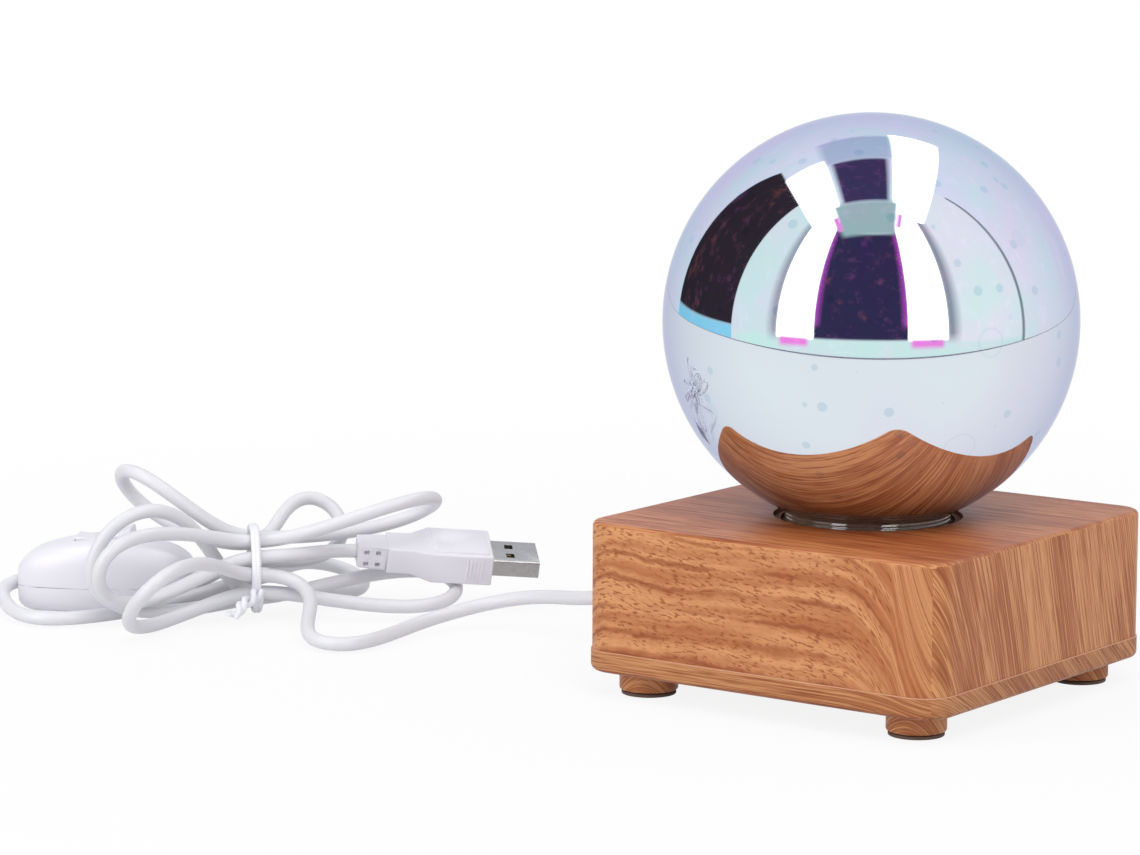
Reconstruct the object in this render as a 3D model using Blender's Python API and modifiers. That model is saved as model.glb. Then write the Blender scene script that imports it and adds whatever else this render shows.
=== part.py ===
"""Mirror-glass ball night light on a square wood-look base, with a USB lead tied in a hank.

Blender 4.5, metres, +Z up. The feet stand on z = 0 under the middle of the base.
The front of the base faces -Y and the lead leaves through the -X wall.
"""

from math import atan2, copysign, cos, pi, radians, sin, sqrt

import bmesh
import bpy
from mathutils import Matrix, Vector

MM = 0.001

# Fits
TOUCH_GAP = 0.25 * MM
RUN_GAP = 0.5 * MM

# Base: housing on a bottom plate on four feet
BASE_SIDE = 100.0 * MM
BASE_CORNER = 8.0 * MM
PLATE_OVERHANG = 0.3 * MM
PLATE_THICK = 5.1 * MM
PLATE_ROUNDING = 1.6 * MM
HOUSING_HEIGHT = 30.9 * MM
HOUSING_WALL = 3.0 * MM
HOUSING_DECK = 3.0 * MM
HOUSING_ROUNDING = 1.2 * MM
BOSS_RADIUS = 5.0 * MM
BOSS_HOLE_DEPTH = 9.0 * MM
PAD_THICK = 0.8 * MM
PAD_RADIUS = 6.6 * MM
FOOT_RADIUS = 7.1 * MM
FOOT_HEIGHT = 4.7 * MM
FOOT_INSET = 12.3 * MM
FOOT_ROUNDING = 0.5 * MM
FOOT_SCREW_RADIUS = 1.5 * MM
FOOT_SCREW_HEAD_RADIUS = 2.9 * MM
FOOT_SCREW_HEAD_HEIGHT = 2.0 * MM

# Glass ball with its threaded neck, and the socket that it screws into
BALL_RADIUS = 50.0 * MM
NECK_SHOWN = 1.07 * MM
GLASS_WALL = 1.8 * MM
NECK_RADIUS = 20.0 * MM
NECK_DEPTH_IN_BASE = 13.0 * MM
THREAD_HEIGHT = 0.6 * MM
THREAD_PITCH = 2.6 * MM
THREAD_TURNS = 3
THREAD_FLANK = 0.3
THREAD_CREST = 0.2
SOCKET_WALL = 1.5 * MM
SOCKET_FLANGE = 5.0 * MM
SOCKET_FLANGE_THICK = 2.4 * MM
SOCKET_LEDGE_THICK = 1.6 * MM
SOCKET_LEDGE_WIDTH = 3.6 * MM
SOCKET_BELOW_TOP = 0.8 * MM
GASKET_THICK = 0.9 * MM
SOCKET_SCREW_RADIUS = 0.9 * MM
SOCKET_SCREW_HEAD_RADIUS = 1.8 * MM
SOCKET_SCREW_HEAD_HEIGHT = 1.2 * MM
SOCKET_SCREW_BITE = 2.0 * MM
SOCKET_SCREW_COUNT = 3

# Light board on its stand
BOARD_RADIUS = 15.0 * MM
BOARD_THICK = 1.6 * MM
BOARD_BELOW_LEDGE = 1.2 * MM
STAND_WALL = 1.8 * MM
STAND_SLOT_WIDTH = 12.0 * MM
STAND_SLOT_HEIGHT = 6.0 * MM
STAND_WIRE_HOLE_RADIUS = 4.0 * MM
CHIP_SIDE = 4.0 * MM
CHIP_HEIGHT = 1.0 * MM
CHIP_FROM_EDGE = 6.0 * MM
CHIP_COUNT = 6
BOARD_SCREW_RADIUS = 0.9 * MM
BOARD_SCREW_HEAD_RADIUS = 1.7 * MM
BOARD_SCREW_HEAD_HEIGHT = 1.1 * MM
BOARD_SCREW_LENGTH = 5.0 * MM
BOARD_SCREW_FROM_EDGE = 3.5 * MM

# Lead: entry into the base, and the round cord itself
CORD_DIAMETER = 4.0 * MM
CORD_EXIT_ABOVE_PLATE = 5.4 * MM
GROMMET_RADIUS = 3.6 * MM
GROMMET_FLANGE_RADIUS = 4.6 * MM
GROMMET_OUTSIDE = 2.6 * MM
GROMMET_FLANGE_THICK = 1.6 * MM
TAIL_LENGTH = 9.0 * MM
WIRE_DIAMETER = 1.4 * MM
WIRE_SPACING = 2.4 * MM

# Hank: ten lanes in a ring through the tie, and a loop between neighbouring lanes
WAIST = Vector((-174.0, -23.0, 12.8)) * MM
HANK_TURN = radians(45)
LANE_COUNT = 10
LANE_GAP = 0.9 * MM
FIRST_LANE_ANGLE = radians(94)
LAST_BASE_LANE = 4
FIRST_PLUG_LANE = 5
LAST_PLUG_LANE = 9
TIE_HALF_LENGTH = 3.0 * MM
LOOP_POINTS = 36
OPENING_POWER = 1.15
LEAN_POWER = 1.5
LINE_SPACING = 2.4 * MM
EASE_PASSES = 7
SOLID_STEP = 2
# Each loop: first lane, side of the tie, length, how far its first strand opens along the hank, to the front
# and up, and how far its end leans to the front and up, in millimetres
BASE_SIDE_LOOPS = (
    (0, -1, 30.8, 4.6, 8.6, 8.0, 38.0, 2.7),
    (1, 1, 51.0, 0.3, 7.6, -4.1, -2.3, 0.6),
    (2, -1, 36.6, -9.2, -0.3, -11.0, 12.5, 19.3),
    (3, 1, 25.8, 7.1, 3.1, -2.1, -25.6, -1.4),
)
PLUG_SIDE_LOOPS = (
    (5, 1, 20.0, 5.5, 3.8, -4.7, -11.0, 9.8),
    (6, -1, 31.3, -1.7, -7.5, -3.2, -8.3, 18.3),
    (7, 1, 45.5, 0.7, -8.8, -4.4, -0.9, 9.4),
    (8, -1, 39.2, -1.6, 6.2, 8.3, 15.2, -4.9),
)

# Free stretches: from the base to the hank, and from the hank round the switch to its far end.
# Apart from the first one, they give distance along the hank, distance in front of it and height.
BASE_STRETCH = [Vector(p) * MM for p in (
    (-68, -0.5, 15), (-80, -2, 12.5), (-92, 0.5, 11), (-100, 2, 10), (-107, 2, 8.8), (-117, -1, 6.2))]
HANK_APPROACH = [Vector(p) * MM for p in (
    (43, 27, 3.4), (33, 37.5, 2.4), (26, 46, 2.2), (21.5, 50.5, 2.2), (16.5, 51.5, 2.2), (11.8, 48.8, 2.4),
    (9.8, 43, 3.0), (10.3, 35.5, 4.3), (11.8, 27, 6.0), (13, 18.5, 8.2), (11.6, 11.6, 10.4))]
SWITCH_STRETCH = [Vector(p) * MM for p in (
    (-7.5, -7.4, 6.6), (-13.5, -4.8, 5.4), (-21, -0.5, 4.2), (-29, 1.2, 3.0), (-37, 3.4, 2.3),
    (-46, 7.1, 2.2), (-53.5, 8.5, 2.2), (-60, 4.5, 2.3), (-63.8, -4, 3.2), (-65.4, -12.5, 5.2),
    (-64.6, -18.2, 6.9))]
BASE_LANE_RUN = 4.0 * MM
FAR_END_RUN = 1.55 * MM
NEAR_END_RUN = 2.75 * MM
NEAR_LANE_RUN = 2.5 * MM

# Twist tie, with its angles about the hank's axis
TIE_WIRE_DIAMETER = 1.6 * MM
TIE_TAIL_LENGTH = 13.0 * MM
TIE_START = radians(112)
TIE_SWEEP = radians(338)
TIE_STEPS = 26

# In-line switch
SWITCH_CENTRE = Vector((-211.7, -38.2, 0.0)) * MM
SWITCH_TURN = radians(34)
SWITCH_LENGTH = 46.0 * MM
SWITCH_WIDTH = 24.0 * MM
SWITCH_HEIGHT = 19.5 * MM
SWITCH_END_WIDTH = 15.6 * MM
SWITCH_END_HEIGHT = 14.4 * MM
SWITCH_END_ROUNDING = 7.0 * MM
SWITCH_END_FACE = 0.55
SWITCH_SQUARENESS = 0.5
SWITCH_RINGS = 7
SWITCH_SIDES = 24
SWITCH_WALL = 2.0 * MM
ROCKER_LENGTH = 15.0 * MM
ROCKER_WIDTH = 9.0 * MM
ROCKER_RISE = 1.6 * MM
ROCKER_TRAVEL = radians(9)
ROCKER_DEPTH = 3.5 * MM
ROCKER_CLEARANCE = 0.8 * MM
ROCKER_PIN_RADIUS = 0.8 * MM
ROCKER_PIN_LENGTH = 1.2 * MM
SWITCH_TOP_WALL = 3.6 * MM
SWITCH_CAVITY_LENGTH = 25.0 * MM
SWITCH_CAVITY_WIDTH = 14.0 * MM
SWITCH_SCREW_RADIUS = 1.0 * MM
SWITCH_SCREW_HEAD_RADIUS = 1.9 * MM
SWITCH_SCREW_SPACING = 32.0 * MM
SWITCH_SCREW_SUNK = 0.6 * MM
SWITCH_SCREW_BITE = 4.0 * MM
TERMINAL_NEAR = 5.0 * MM
TERMINAL_FAR = 10.5 * MM
TERMINAL_WIDTH = 6.0 * MM
TERMINAL_HEIGHT = 5.4 * MM
BRIDGE_THICK = 0.5 * MM
BRIDGE_WIDTH = 4.0 * MM

# USB plug
PLUG_TAIL = Vector((-155.1, -4.1, 16.7)) * MM
PLUG_TURN = radians(45)
PLUG_NOSE_DOWN = radians(4.5)
PLUG_ROLL = radians(17)
PLUG_RELIEF_LENGTH = 7.6 * MM
PLUG_RELIEF_WIDTH = 8.4 * MM
PLUG_RELIEF_HEIGHT = 6.6 * MM
PLUG_RELIEF_TAPER = 0.3 * MM
PLUG_FLARE_START = 0.24
PLUG_FLARE_END = 0.42
PLUG_BODY_LENGTH = 27.7 * MM
PLUG_BODY_WIDTH = 16.0 * MM
PLUG_BODY_HEIGHT = 8.4 * MM
PLUG_REAR_WIDTH = 10.4 * MM
PLUG_REAR_HEIGHT = 7.2 * MM
SHELL_LENGTH = 12.5 * MM
SHELL_WIDTH = 12.0 * MM
SHELL_HEIGHT = 4.5 * MM
SHELL_WALL = 0.3 * MM
TONGUE_HEIGHT = 1.8 * MM
CONTACT_WIDTH = 1.0 * MM
CONTACT_PITCH = 2.3 * MM
CONTACT_THICK = 0.25 * MM
CONTACT_GAP = 0.2 * MM
PLUG_ROUNDING = 0.9 * MM
RELIEF_SLOTS = 2
RELIEF_SLOT_LENGTH = 1.3 * MM
RELIEF_SLOT_HEIGHT = 1.2 * MM
SHELL_SEAT = 4.0 * MM
SHELL_HOLE_SIDE = 2.2 * MM
SHELL_HOLE_SPACING = 5.0 * MM
SHELL_HOLE_FROM_GRIP = 5.0 * MM

# Sizes that follow
FOOT_TOP = PAD_THICK + TOUCH_GAP + FOOT_HEIGHT
PLATE_BOTTOM = FOOT_TOP + TOUCH_GAP
PLATE_TOP = PLATE_BOTTOM + PLATE_THICK
HOUSING_BOTTOM = PLATE_TOP + TOUCH_GAP
BASE_TOP = HOUSING_BOTTOM + HOUSING_HEIGHT
CORD_EXIT_HEIGHT = PLATE_TOP + CORD_EXIT_ABOVE_PLATE
HOUSING_SIDE = BASE_SIDE - 2 * PLATE_OVERHANG
HOUSING_CORNER = BASE_CORNER - PLATE_OVERHANG
DECK_BOTTOM = BASE_TOP - HOUSING_DECK
FOOT_POSITION = BASE_SIDE / 2 - FOOT_INSET
BALL_CENTRE = BASE_TOP + NECK_SHOWN + sqrt(BALL_RADIUS ** 2 - NECK_RADIUS ** 2)
NECK_BOTTOM = BASE_TOP - NECK_DEPTH_IN_BASE
SOCKET_BORE = NECK_RADIUS + THREAD_HEIGHT + RUN_GAP
SOCKET_RADIUS = SOCKET_BORE + SOCKET_WALL
BASE_HOLE = SOCKET_RADIUS + TOUCH_GAP
LEDGE_TOP = NECK_BOTTOM - GASKET_THICK - 2 * TOUCH_GAP
SOCKET_BOTTOM = LEDGE_TOP - SOCKET_LEDGE_THICK
BOARD_TOP = SOCKET_BOTTOM - BOARD_BELOW_LEDGE
BOARD_BOTTOM = BOARD_TOP - BOARD_THICK
STAND_TOP = BOARD_BOTTOM - TOUCH_GAP
STAND_BOTTOM = PLATE_TOP + TOUCH_GAP
CHIP_RING = BOARD_RADIUS - CHIP_FROM_EDGE
BOARD_SCREW_RING = BOARD_RADIUS - BOARD_SCREW_FROM_EDGE
SWITCH_SPLIT = SWITCH_END_HEIGHT / 2
LANE_RING = (CORD_DIAMETER + LANE_GAP) / (2 * sin(pi / LANE_COUNT))
OPENING_SHARE = sqrt(1 + OPENING_POWER) * (1 + 1 / OPENING_POWER) ** (OPENING_POWER / 2)

COLOURS = {
    "wood_film": ((0.46, 0.23, 0.10), 0.45, 0.0),
    "mirror_glass": ((0.72, 0.74, 0.86), 0.05, 0.6),
    "black_plastic": ((0.03, 0.03, 0.03), 0.5, 0.0),
    "dark_rubber": ((0.05, 0.04, 0.04), 0.8, 0.0),
    "steel": ((0.62, 0.62, 0.62), 0.3, 1.0),
    "brass": ((0.78, 0.58, 0.28), 0.3, 1.0),
    "white_plastic": ((0.86, 0.86, 0.88), 0.35, 0.0),
    "white_cord": ((0.88, 0.88, 0.90), 0.4, 0.0),
    "board": ((0.85, 0.85, 0.82), 0.4, 0.0),
    "led_lens": ((0.9, 0.85, 0.5), 0.3, 0.0),
    "red_wire": ((0.6, 0.03, 0.03), 0.4, 0.0),
    "black_wire": ((0.02, 0.02, 0.02), 0.4, 0.0),
}

for old in list(bpy.data.objects):
    bpy.data.objects.remove(old, do_unlink=True)

PARTS = bpy.data.collections.new("ball_night_light")
CUTTERS = bpy.data.collections.new("cutters")
bpy.context.scene.collection.children.link(PARTS)
bpy.context.scene.collection.children.link(CUTTERS)


def material(name):
    """A Principled material from the colour table, made once."""
    found = bpy.data.materials.get(name)
    if found:
        return found
    colour, roughness, metallic = COLOURS[name]
    made = bpy.data.materials.new(name)
    made.use_nodes = True
    shader = made.node_tree.nodes["Principled BSDF"]
    shader.inputs["Base Color"].default_value = (*colour, 1.0)
    shader.inputs["Roughness"].default_value = roughness
    shader.inputs["Metallic"].default_value = metallic
    return made


def add(name, data, finish, parent=None, origin=(0, 0, 0)):
    """Link a new sub-part with its own finish."""
    piece = bpy.data.objects.new(name, data)
    data.materials.append(material(finish))
    PARTS.objects.link(piece)
    piece.location = origin
    piece.parent = parent
    return piece


def cutter(name, data, parent=None):
    """Link a hidden shape that Boolean modifiers use."""
    shape = bpy.data.objects.new(name, data)
    CUTTERS.objects.link(shape)
    shape.parent = parent
    shape.hide_render = True
    shape.display_type = "WIRE"
    return shape


def cut(piece, shape, operation="DIFFERENCE"):
    """Cut, join or keep what two shapes share."""
    modifier = piece.modifiers.new(shape.name, "BOOLEAN")
    modifier.object = shape
    modifier.operation = operation
    modifier.solver = "EXACT"


def finish_bmesh(shape, name):
    data = bpy.data.meshes.new(name)
    bmesh.ops.recalc_face_normals(shape, faces=shape.faces)
    shape.to_mesh(data)
    shape.free()
    return data


def box_mesh(name, low, high):
    """A plain box between two corners."""
    low = Vector(low)
    high = Vector(high)
    shape = bmesh.new()
    bmesh.ops.create_cube(shape, size=1.0)
    bmesh.ops.scale(shape, vec=high - low, verts=shape.verts)
    bmesh.ops.translate(shape, vec=(low + high) / 2, verts=shape.verts)
    return finish_bmesh(shape, name)


def rounded_box_mesh(name, side, bottom, top, corner, rounding_top=0.0, rounding_bottom=0.0):
    """A square box with round upright corners, and rounded upper or lower edges."""
    shape = bmesh.new()
    bmesh.ops.create_cube(shape, size=1.0)
    bmesh.ops.scale(shape, vec=(side, side, top - bottom), verts=shape.verts)
    bmesh.ops.translate(shape, vec=(0, 0, (top + bottom) / 2), verts=shape.verts)
    upright = [e for e in shape.edges if abs(e.verts[0].co.z - e.verts[1].co.z) > (top - bottom) / 2]
    bmesh.ops.bevel(shape, geom=upright, offset=corner, segments=6, profile=0.5, affect="EDGES")
    for level, rounding in ((top, rounding_top), (bottom, rounding_bottom)):
        if rounding:
            rim = [e for e in shape.edges if all(abs(v.co.z - level) < TOUCH_GAP / 10 for v in e.verts)]
            bmesh.ops.bevel(shape, geom=rim, offset=rounding, segments=3, profile=0.5, affect="EDGES")
    return finish_bmesh(shape, name)


def cylinder_mesh(name, radius, bottom, top, middle=(0, 0), segments=24, along="Z"):
    """A solid cylinder along Z, or along X or Y from the same two ends."""
    shape = bmesh.new()
    bmesh.ops.create_cone(shape, cap_ends=True, segments=segments, radius1=radius, radius2=radius,
                          depth=top - bottom)
    bmesh.ops.translate(shape, vec=(0, 0, (top + bottom) / 2), verts=shape.verts)
    if along == "X":
        bmesh.ops.rotate(shape, matrix=Matrix.Rotation(pi / 2, 3, "Y"), verts=shape.verts)
        bmesh.ops.translate(shape, vec=(0, middle[0], middle[1]), verts=shape.verts)
    elif along == "Y":
        bmesh.ops.rotate(shape, matrix=Matrix.Rotation(-pi / 2, 3, "X"), verts=shape.verts)
        bmesh.ops.translate(shape, vec=(middle[0], 0, middle[1]), verts=shape.verts)
    else:
        bmesh.ops.translate(shape, vec=(middle[0], middle[1], 0), verts=shape.verts)
    return finish_bmesh(shape, name)


def turned(name, profile, finish, steps=24, parent=None, origin=(0, 0, 0)):
    """A turned shape: (radius, height) points on the outer side first, run round Z by a Screw."""
    data = bpy.data.meshes.new(name)
    rows = [(radius, 0.0, height) for radius, height in profile]
    closed = profile[0][0] > 0
    edges = [(i, i + 1) for i in range(len(rows) - 1)]
    if closed:
        edges.append((len(rows) - 1, 0))
    data.from_pydata(rows, edges, [])
    piece = add(name, data, finish, parent, origin)
    screw = piece.modifiers.new("turn", "SCREW")
    screw.axis = "Z"
    screw.steps = steps
    screw.render_steps = steps
    screw.use_merge_vertices = True
    screw.merge_threshold = 0.00001
    return piece


def tube(name, points, diameter, finish, bevel_resolution=2, parent=None):
    """A round cord or wire along a list of points."""
    data = bpy.data.curves.new(name, "CURVE")
    data.dimensions = "3D"
    data.bevel_depth = diameter / 2
    data.bevel_resolution = bevel_resolution
    data.use_fill_caps = True
    spline = data.splines.new("POLY")
    spline.points.add(len(points) - 1)
    for row, point in zip(spline.points, points):
        row.co = (*point, 1.0)
    return add(name, data, finish, parent)


def smooth(points):
    """A dense smooth curve through hand-chosen points."""
    whole = [2 * points[0] - points[1], *points, 2 * points[-1] - points[-2]]
    dense = []
    for before, start, stop, after in zip(whole, whole[1:], whole[2:], whole[3:]):
        for step in range(10):
            t = step / 10
            dense.append(0.5 * (2 * start + (stop - before) * t
                                + (2 * before - 5 * start + 4 * stop - after) * t ** 2
                                + (3 * start - before - 3 * stop + after) * t ** 3))
    return dense + [points[-1]]


def length_of(points):
    return sum((b - a).length for a, b in zip(points, points[1:]))


def evened(points, spacing):
    """Points at even distances along a line."""
    total = length_of(points)
    count = max(2, round(total / spacing))
    even = [points[0]]
    walked = 0.0
    for a, b in zip(points, points[1:]):
        stretch = (b - a).length
        while len(even) < count and walked + stretch >= total * len(even) / count:
            even.append(a.lerp(b, (total * len(even) / count - walked) / stretch))
        walked += stretch
    return even + [points[-1]]


def eased(points):
    """The same line with its bends spread out, as a cord's stiffness does."""
    for _ in range(EASE_PASSES):
        inner = [a / 4 + b / 2 + c / 4 for a, b, c in zip(points, points[1:], points[2:])]
        points = [points[0], *inner, points[-1]]
    return points


def base():
    """Housing, plate, feet, pads and the screws that hold them together."""
    corner_spots = [(x * FOOT_POSITION, y * FOOT_POSITION) for x in (-1, 1) for y in (-1, 1)]
    box = rounded_box_mesh("base_housing", HOUSING_SIDE, HOUSING_BOTTOM, BASE_TOP, HOUSING_CORNER,
                           rounding_top=HOUSING_ROUNDING)
    housing = add("base_housing", box, "wood_film")
    inside = cutter("housing_inside", rounded_box_mesh("housing_inside", HOUSING_SIDE - 2 * HOUSING_WALL,
                                                       HOUSING_BOTTOM - RUN_GAP, DECK_BOTTOM,
                                                       HOUSING_CORNER - HOUSING_WALL))
    for index, spot in enumerate(corner_spots):
        boss = cylinder_mesh("boss", BOSS_RADIUS, HOUSING_BOTTOM - 2 * RUN_GAP, BASE_TOP, spot, 20)
        cut(inside, cutter(f"housing_boss_{index}", boss))
    cut(housing, inside)
    cut(housing, cutter("housing_hole", cylinder_mesh("housing_hole", BASE_HOLE, DECK_BOTTOM - RUN_GAP,
                                                      BASE_TOP + RUN_GAP, segments=64)))
    wall_out = -HOUSING_SIDE / 2
    lead_hole = cylinder_mesh("lead_hole", GROMMET_RADIUS + TOUCH_GAP, wall_out - RUN_GAP,
                              wall_out + HOUSING_WALL + RUN_GAP, (0, CORD_EXIT_HEIGHT), 24, "X")
    cut(housing, cutter("lead_hole", lead_hole))
    plate = add("base_plate", rounded_box_mesh("base_plate", BASE_SIDE, PLATE_BOTTOM, PLATE_TOP, BASE_CORNER,
                                               rounding_top=PLATE_OVERHANG, rounding_bottom=PLATE_ROUNDING),
                "wood_film")
    for index, spot in enumerate(corner_spots):
        screw_hole = FOOT_SCREW_RADIUS + TOUCH_GAP
        hole_top = HOUSING_BOTTOM + BOSS_HOLE_DEPTH
        bore = cylinder_mesh("screw_hole", screw_hole, PAD_THICK, hole_top, spot, 16)
        hole = cutter(f"screw_hole_{index}", bore)
        cut(plate, hole)
        cut(housing, hole)
        foot_low = PAD_THICK + TOUCH_GAP
        head_room = FOOT_SCREW_HEAD_RADIUS + TOUCH_GAP
        head_top = foot_low + FOOT_SCREW_HEAD_HEIGHT + TOUCH_GAP
        turned(f"foot_{index}", [
            (screw_hole, FOOT_TOP), (FOOT_RADIUS - FOOT_ROUNDING, FOOT_TOP),
            (FOOT_RADIUS, FOOT_TOP - FOOT_ROUNDING), (FOOT_RADIUS, foot_low + FOOT_ROUNDING),
            (FOOT_RADIUS - FOOT_ROUNDING, foot_low), (head_room, foot_low),
            (head_room, head_top + TOUCH_GAP), (screw_hole, head_top + TOUCH_GAP)],
            "wood_film", 20, origin=(*spot, 0))
        add(f"foot_pad_{index}", cylinder_mesh(f"foot_pad_{index}", PAD_RADIUS, 0, PAD_THICK, segments=20),
            "dark_rubber", origin=(*spot, 0))
        screw_top = hole_top - RUN_GAP
        turned(f"foot_screw_{index}", [
            (0, screw_top), (FOOT_SCREW_RADIUS, screw_top - FOOT_SCREW_RADIUS),
            (FOOT_SCREW_RADIUS, head_top), (FOOT_SCREW_HEAD_RADIUS, head_top),
            (FOOT_SCREW_HEAD_RADIUS, foot_low + TOUCH_GAP),
            (0, foot_low + TOUCH_GAP)], "steel", 10, origin=(*spot, 0))


def globe():
    """The blown ball with its open threaded neck, turned about its own axis."""
    shoulder = atan2(sqrt(BALL_RADIUS ** 2 - NECK_RADIUS ** 2), NECK_RADIUS)
    inner = BALL_RADIUS - GLASS_WALL
    bore = NECK_RADIUS - GLASS_WALL
    inner_shoulder = atan2(sqrt(inner ** 2 - bore ** 2), bore)
    outside = [(0.0, BALL_CENTRE + BALL_RADIUS)]
    arc_steps = 18
    for step in range(1, arc_steps + 1):
        angle = pi / 2 - (pi / 2 + shoulder) * step / arc_steps
        outside.append((BALL_RADIUS * cos(angle), BALL_CENTRE + BALL_RADIUS * sin(angle)))
    thread = []
    thread_top = BASE_TOP - RUN_GAP
    for turn in range(THREAD_TURNS):
        level = thread_top - turn * THREAD_PITCH
        crest = NECK_RADIUS + THREAD_HEIGHT
        crest_top = level - THREAD_PITCH * THREAD_FLANK
        crest_bottom = crest_top - THREAD_PITCH * THREAD_CREST
        foot = crest_bottom - THREAD_PITCH * THREAD_FLANK
        thread += [(NECK_RADIUS, level), (crest, crest_top), (crest, crest_bottom), (NECK_RADIUS, foot)]
    bottom = [(NECK_RADIUS, NECK_BOTTOM), (bore, NECK_BOTTOM)]
    inside = []
    for step in range(arc_steps):
        angle = -inner_shoulder + (pi / 2 + inner_shoulder) * step / arc_steps
        inside.append((inner * cos(angle), BALL_CENTRE + inner * sin(angle)))
    inside.append((0.0, BALL_CENTRE + inner))
    profile = [(r, z - NECK_BOTTOM) for r, z in outside + thread + bottom + inside]
    turned("glass_globe", profile, "mirror_glass", 40, origin=(0, 0, NECK_BOTTOM))


def socket():
    """The screw socket under the deck, its gasket and its three screws."""
    ledge_bore = SOCKET_BORE - SOCKET_LEDGE_WIDTH
    flange = SOCKET_RADIUS + SOCKET_FLANGE
    flange_top = DECK_BOTTOM - TOUCH_GAP
    flange_bottom = flange_top - SOCKET_FLANGE_THICK
    top = BASE_TOP - SOCKET_BELOW_TOP
    ring = turned("neck_socket", [
        (SOCKET_BORE, top), (SOCKET_RADIUS, top), (SOCKET_RADIUS, flange_top), (flange, flange_top),
        (flange, flange_bottom), (SOCKET_RADIUS, flange_bottom), (SOCKET_RADIUS, SOCKET_BOTTOM),
        (ledge_bore, SOCKET_BOTTOM), (ledge_bore, LEDGE_TOP), (SOCKET_BORE, LEDGE_TOP)], "black_plastic", 36)
    turned("neck_gasket", [
        (NECK_RADIUS - GLASS_WALL, LEDGE_TOP + TOUCH_GAP + GASKET_THICK),
        (NECK_RADIUS, LEDGE_TOP + TOUCH_GAP + GASKET_THICK), (NECK_RADIUS, LEDGE_TOP + TOUCH_GAP),
        (NECK_RADIUS - GLASS_WALL, LEDGE_TOP + TOUCH_GAP)], "dark_rubber", 24)
    housing = bpy.data.objects["base_housing"]
    screw_ring = SOCKET_RADIUS + SOCKET_FLANGE / 2
    for index in range(SOCKET_SCREW_COUNT):
        angle = pi / 2 + 2 * pi * index / SOCKET_SCREW_COUNT
        spot = (screw_ring * cos(angle), screw_ring * sin(angle))
        hole = cutter(f"socket_screw_hole_{index}", cylinder_mesh(
            "socket_screw_hole", SOCKET_SCREW_RADIUS + TOUCH_GAP, flange_bottom - RUN_GAP,
            DECK_BOTTOM + SOCKET_SCREW_BITE, spot, 12))
        cut(ring, hole)
        cut(housing, hole)
        shank_top = DECK_BOTTOM + SOCKET_SCREW_BITE - TOUCH_GAP
        head_top = flange_bottom - TOUCH_GAP
        head_bottom = head_top - SOCKET_SCREW_HEAD_HEIGHT
        turned(f"socket_screw_{index}", [
            (0, shank_top), (SOCKET_SCREW_RADIUS, shank_top), (SOCKET_SCREW_RADIUS, head_top),
            (SOCKET_SCREW_HEAD_RADIUS, head_top), (SOCKET_SCREW_HEAD_RADIUS, head_bottom),
            (0, head_bottom)], "steel", 10, origin=(*spot, 0))


def light_board():
    """The stand on the plate, the round board on it, its light chips and its two screws."""
    stand = turned("board_stand", [
        (STAND_WIRE_HOLE_RADIUS, STAND_TOP), (BOARD_RADIUS, STAND_TOP), (BOARD_RADIUS, STAND_BOTTOM),
        (BOARD_RADIUS - STAND_WALL, STAND_BOTTOM), (BOARD_RADIUS - STAND_WALL, STAND_TOP - STAND_WALL),
        (STAND_WIRE_HOLE_RADIUS, STAND_TOP - STAND_WALL)], "black_plastic", 32)
    cut(stand, cutter("stand_slot", box_mesh("stand_slot", (-BOARD_RADIUS * 1.2, -STAND_SLOT_WIDTH / 2,
                                                            STAND_BOTTOM - RUN_GAP),
                                             (-BOARD_RADIUS / 2, STAND_SLOT_WIDTH / 2,
                                              STAND_BOTTOM + STAND_SLOT_HEIGHT))))
    disc = cylinder_mesh("light_board", BOARD_RADIUS, BOARD_BOTTOM, BOARD_TOP, segments=32)
    board = add("light_board", disc, "board")
    chip_low = BOARD_TOP + TOUCH_GAP
    for index in range(CHIP_COUNT):
        angle = 2 * pi * index / CHIP_COUNT
        name = f"light_chip_{index}"
        half = CHIP_SIDE / 2
        block = box_mesh(name, (-half, -half, 0), (half, half, CHIP_HEIGHT))
        chip = add(name, block, "led_lens",
                   origin=(CHIP_RING * cos(angle), CHIP_RING * sin(angle), chip_low))
        chip.rotation_euler.z = angle
    for index, side in enumerate((-1, 1)):
        turn = pi / CHIP_COUNT
        spot = (side * BOARD_SCREW_RING * cos(turn), side * BOARD_SCREW_RING * sin(turn))
        hole = cutter(f"board_screw_hole_{index}", cylinder_mesh(
            "board_screw_hole", BOARD_SCREW_RADIUS + TOUCH_GAP, STAND_TOP - STAND_WALL - RUN_GAP,
            BOARD_TOP + RUN_GAP, spot, 12))
        cut(board, hole)
        cut(stand, hole)
        head_low = BOARD_TOP + TOUCH_GAP
        head_high = head_low + BOARD_SCREW_HEAD_HEIGHT
        turned(f"board_screw_{index}", [
            (0, head_high), (BOARD_SCREW_HEAD_RADIUS, head_high), (BOARD_SCREW_HEAD_RADIUS, head_low),
            (BOARD_SCREW_RADIUS, head_low),
            (BOARD_SCREW_RADIUS, BOARD_TOP - BOARD_SCREW_LENGTH), (0, BOARD_TOP - BOARD_SCREW_LENGTH)],
            "steel", 10, origin=(*spot, 0))


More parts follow.
